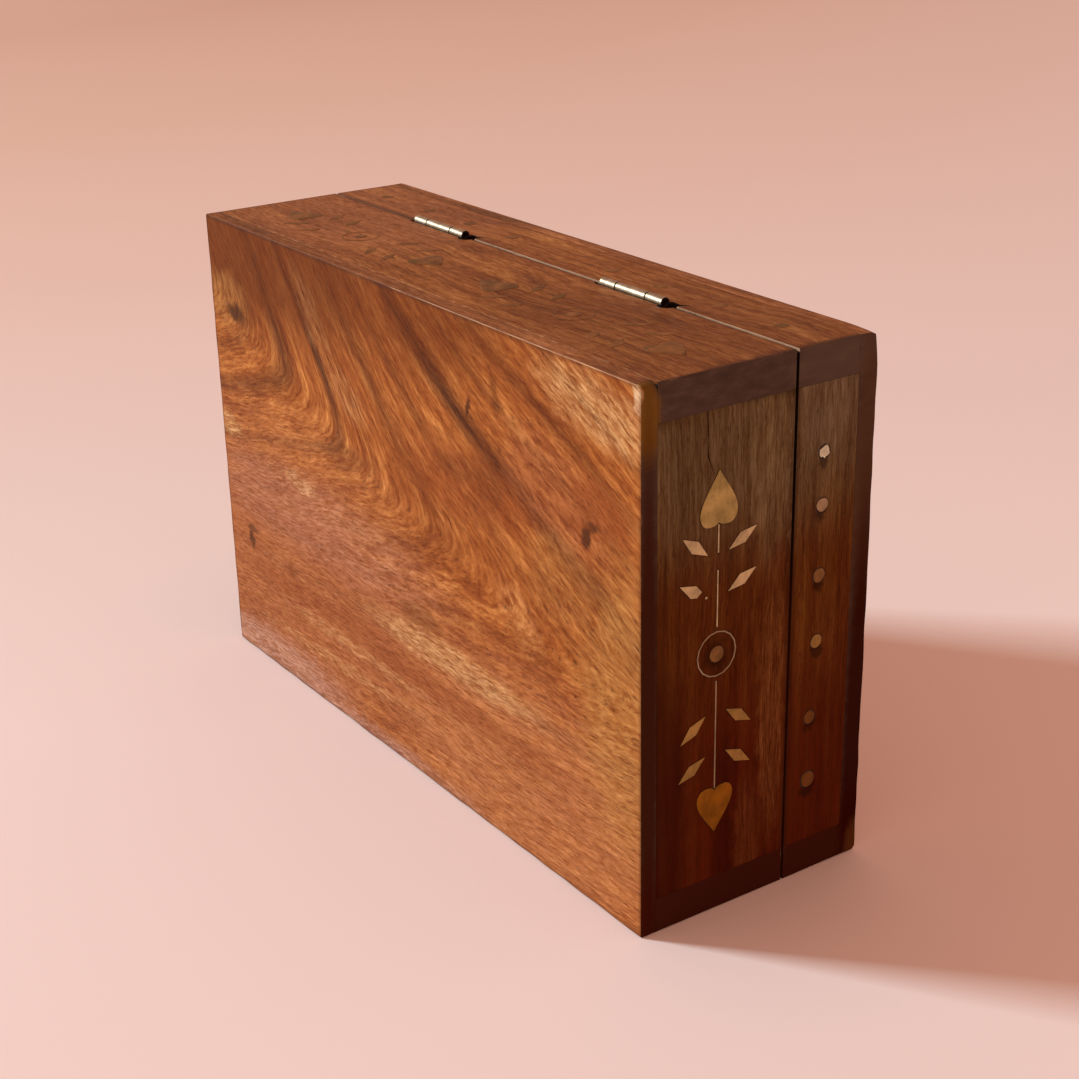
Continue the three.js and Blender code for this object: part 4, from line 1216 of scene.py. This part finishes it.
class INLAIDBOX_OT_hinges(Operator):
    """Replaces the hinges with ones whose edges are rolled soft, and sets their slotted screws"""
    bl_idname = "inlaid_box.hinges"
    bl_label = "Hinges and screws"

    def execute(self, context):
        settings = context.scene.inlaid_box_hinges
        screws = [
            ((low.x + high.x) / 2 + step * settings.screw_spacing, PARTING_Y, settings.screw_height)
            for low, high in HINGE_BOXES for step in (-0.5, 0.5)]
        grimy = [(tuple(part / MM for part in screw), (3.0, 3.0, 3.0), 0, 0.85) for screw in screws]
        steel = hinge_steel("Plated steel, rolled", ("#7E6C56", "#A08A72", "#B8A28A"), grimy)
        bright = hinge_steel("Steel screws, rubbed bright", ("#8C8072", "#B4A898", "#D0C6B8"))
        dark = rust_and_painted_shade()
        for side in ("left", "right"):
            for part, body in (("base_leaf", "base"), ("lid_leaf", "lid"), ("pin", "base")):
                node = f"{side}_hinge_{part}"
                bm = merged_copy(node)
                sharp = [edge for edge in bm.edges if len(edge.link_faces) == 2
                         and edge.calc_face_angle() > math.radians(50)]
                bmesh.ops.bevel(
                    bm, geom=sharp, offset=settings.soft_edge, segments=2, affect="EDGES", profile=0.5,
                    material=-1)
                # The pin is rusty. The ends of the barrel and of the leaves are near black too: rust, and
                # painted shade for the barrel's hollow open ends
                for face in bm.faces:
                    face.material_index = int(part == "pin" or abs(face.normal.x) > 0.3)
                piece = finished(bm, node + "_rolled", body, [steel, dark], 40)
                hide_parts(node)
            for body in ("base", "lid"):
                self.set_screws(side, body, bright, settings)
        return {"FINISHED"}

    def set_screws(self, side, body, material, settings):
        """The two screws of a leaf, their heads facing the other leaf"""
        low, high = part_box(f"{side}_hinge_base_leaf")
        middle = (low.x + high.x) / 2
        outward = 1 if body == "base" else -1
        level = PARTING_Y - outward * (LEAF_FACE + settings.screw_sunk)
        facing = Matrix.Rotation(math.radians(-90 * outward), 4, "X")
        bm = bmesh.new()
        for step in (-0.5, 0.5):
            place = Vector((middle + step * settings.screw_spacing, level, settings.screw_height))
            turned = Matrix.Rotation(1.3 * step + 0.4 * outward, 4, "Z")
            head = slotted_head(settings.screw_radius, settings.slot_width, settings.slot_depth)
            head.transform(Matrix.Translation(place) @ facing @ turned)
            bm.from_mesh(head)
            bpy.data.meshes.remove(head)
        finished(bm, f"{side}_hinge_{body}_screws", body, [material], 30)


# The stage's colours, the floor's darkening further back and to the left as painted shade, and the camera's
# ways ahead and to its left, level with the floor
FLOOR_TONES_WITH_PAINTED_SHADE = [(0.0, "#ECD4CE"), (0.1, "#DFC5BD"), (0.25, "#D6B4A7"), (0.5, "#CCA491"), (0.9, "#C09481")]
WINDOW_LIGHT = "#DAF6FF"
ROOM_LIGHT = "#FFC9B0"
AHEAD = (-0.827, 0.561, 0.0)
LEFTWARD = (-0.561, -0.828, 0.0)


def way_back(azimuth, elevation):
    """The way from the box to a camera or a light that stands at a turn and a height"""
    return Vector((
        math.sin(azimuth) * math.cos(elevation), -math.cos(azimuth) * math.cos(elevation),
        math.sin(elevation)))


class INLAIDBOX_OT_stage(Operator):
    """Sets the floor, the light and the camera"""
    bl_idname = "inlaid_box.stage"
    bl_label = "Stage"

    def execute(self, context):
        settings = context.scene.inlaid_box_stage
        self.lay_floor(settings)
        self.light(context, settings)
        self.place_camera(context, settings)
        context.scene.view_settings.view_transform = "Standard"
        return {"FINISHED"}

    def lay_floor(self, settings):
        """Pale paper, painted darker further back and more so to the left, as shade"""
        bm = bmesh.new()
        bmesh.ops.create_grid(bm, x_segments=8, y_segments=8, size=settings.floor_size / 2)
        mesh = bpy.data.meshes.new("floor")
        bm.to_mesh(mesh)
        bm.free()
        floor = linked("floor", mesh)
        material, tree = new_material("Pale paper, with painted shade further back")
        place = add(tree, "TexCoord")
        ahead, leftward = [
            add(tree, "VectorMath", {0: place.outputs["Object"], 1: way}, operation="DOT_PRODUCT")
            for way in (AHEAD, LEFTWARD)]
        lean = add(tree, "Math", {0: leftward, 1: 1.1, 2: 1.0}, operation="MULTIPLY_ADD")
        away = add(tree, "Math", {0: ahead, 1: lean}, operation="MULTIPLY")
        distance = add(tree, "MapRange", {"Value": away, "From Max": 2.4})
        # Painted shade: the paper darkens with distance back from the camera, more so to the left
        tone = add(tree, "ValToRGB", {"Fac": distance}, stops=FLOOR_TONES_WITH_PAINTED_SHADE)
        shader = add(tree, "BsdfPrincipled", {"Base Color": tone, "Roughness": 0.85})
        add(tree, "OutputMaterial", {"Surface": shader})
        mesh.materials.append(material)

    def light(self, context, settings):
        """One soft cool window, and warm light from all round"""
        lamp = bpy.data.lights.new("window", "AREA")
        lamp.shape = "SQUARE"
        lamp.size = settings.key_size
        lamp.energy = settings.key_power
        lamp.color = srgb(WINDOW_LIGHT)[:3]
        key = linked("window", lamp)
        back = way_back(settings.key_azimuth, settings.key_elevation)
        key.location = SHELL_CENTRE + back * settings.key_distance
        key.rotation_euler = back.to_track_quat("Z", "Y").to_euler()
        world = bpy.data.worlds.new("Room")
        world.use_nodes = True
        context.scene.world = world
        background = world.node_tree.nodes["Background"]
        background.inputs["Color"].default_value = srgb(ROOM_LIGHT)
        background.inputs["Strength"].default_value = settings.sky_strength

    def place_camera(self, context, settings):
        """The camera, at its own place and turned by azimuth, elevation and roll"""
        back = way_back(settings.camera_azimuth, settings.camera_elevation)
        right = Vector((math.cos(settings.camera_azimuth), math.sin(settings.camera_azimuth), 0))
        up = back.cross(right)
        turn = Matrix((right, up, back)).transposed().to_4x4()
        camera_data = bpy.data.cameras.new("camera")
        camera_data.sensor_width = 36.0
        camera_data.lens = settings.lens
        camera = linked("camera", camera_data)
        roll = Matrix.Rotation(settings.camera_roll, 4, "Z")
        camera.matrix_world = Matrix.Translation(settings.camera_place) @ turn @ roll
        context.scene.camera = camera


class INLAIDBOX_PT_panel(Panel):
    """Lists the steps that dress the box"""
    bl_label = "Inlaid Box"
    bl_idname = "INLAIDBOX_PT_panel"
    bl_space_type = "VIEW_3D"
    bl_region_type = "UI"
    bl_category = "Inlaid Box"

    def draw(self, context):
        for operator in OPERATORS:
            self.layout.operator(operator.bl_idname)


OPERATORS = (
    INLAIDBOX_OT_boards, INLAIDBOX_OT_inlay, INLAIDBOX_OT_back_inlay, INLAIDBOX_OT_hinges, INLAIDBOX_OT_stage)
SETTINGS = {
    "inlaid_box_boards": BoardSettings,
    "inlaid_box_wood": WoodSettings,
    "inlaid_box_inlay": InlaySettings,
    "inlaid_box_hinges": HingeSettings,
    "inlaid_box_stage": StageSettings,
}


def register():
    for group in SETTINGS.values():
        bpy.utils.register_class(group)
    for name, group in SETTINGS.items():
        setattr(bpy.types.Scene, name, PointerProperty(type=group))
    for operator in OPERATORS:
        bpy.utils.register_class(operator)
    bpy.utils.register_class(INLAIDBOX_PT_panel)


def unregister():
    bpy.utils.unregister_class(INLAIDBOX_PT_panel)
    for operator in reversed(OPERATORS):
        bpy.utils.unregister_class(operator)
    for name, group in reversed(SETTINGS.items()):
        delattr(bpy.types.Scene, name)
        bpy.utils.unregister_class(group)


def main():
    register()
    for operator in OPERATORS:
        step = getattr(bpy.ops.inlaid_box, operator.bl_idname.split(".")[1])
        step()


if __name__ == "__main__":
    main()
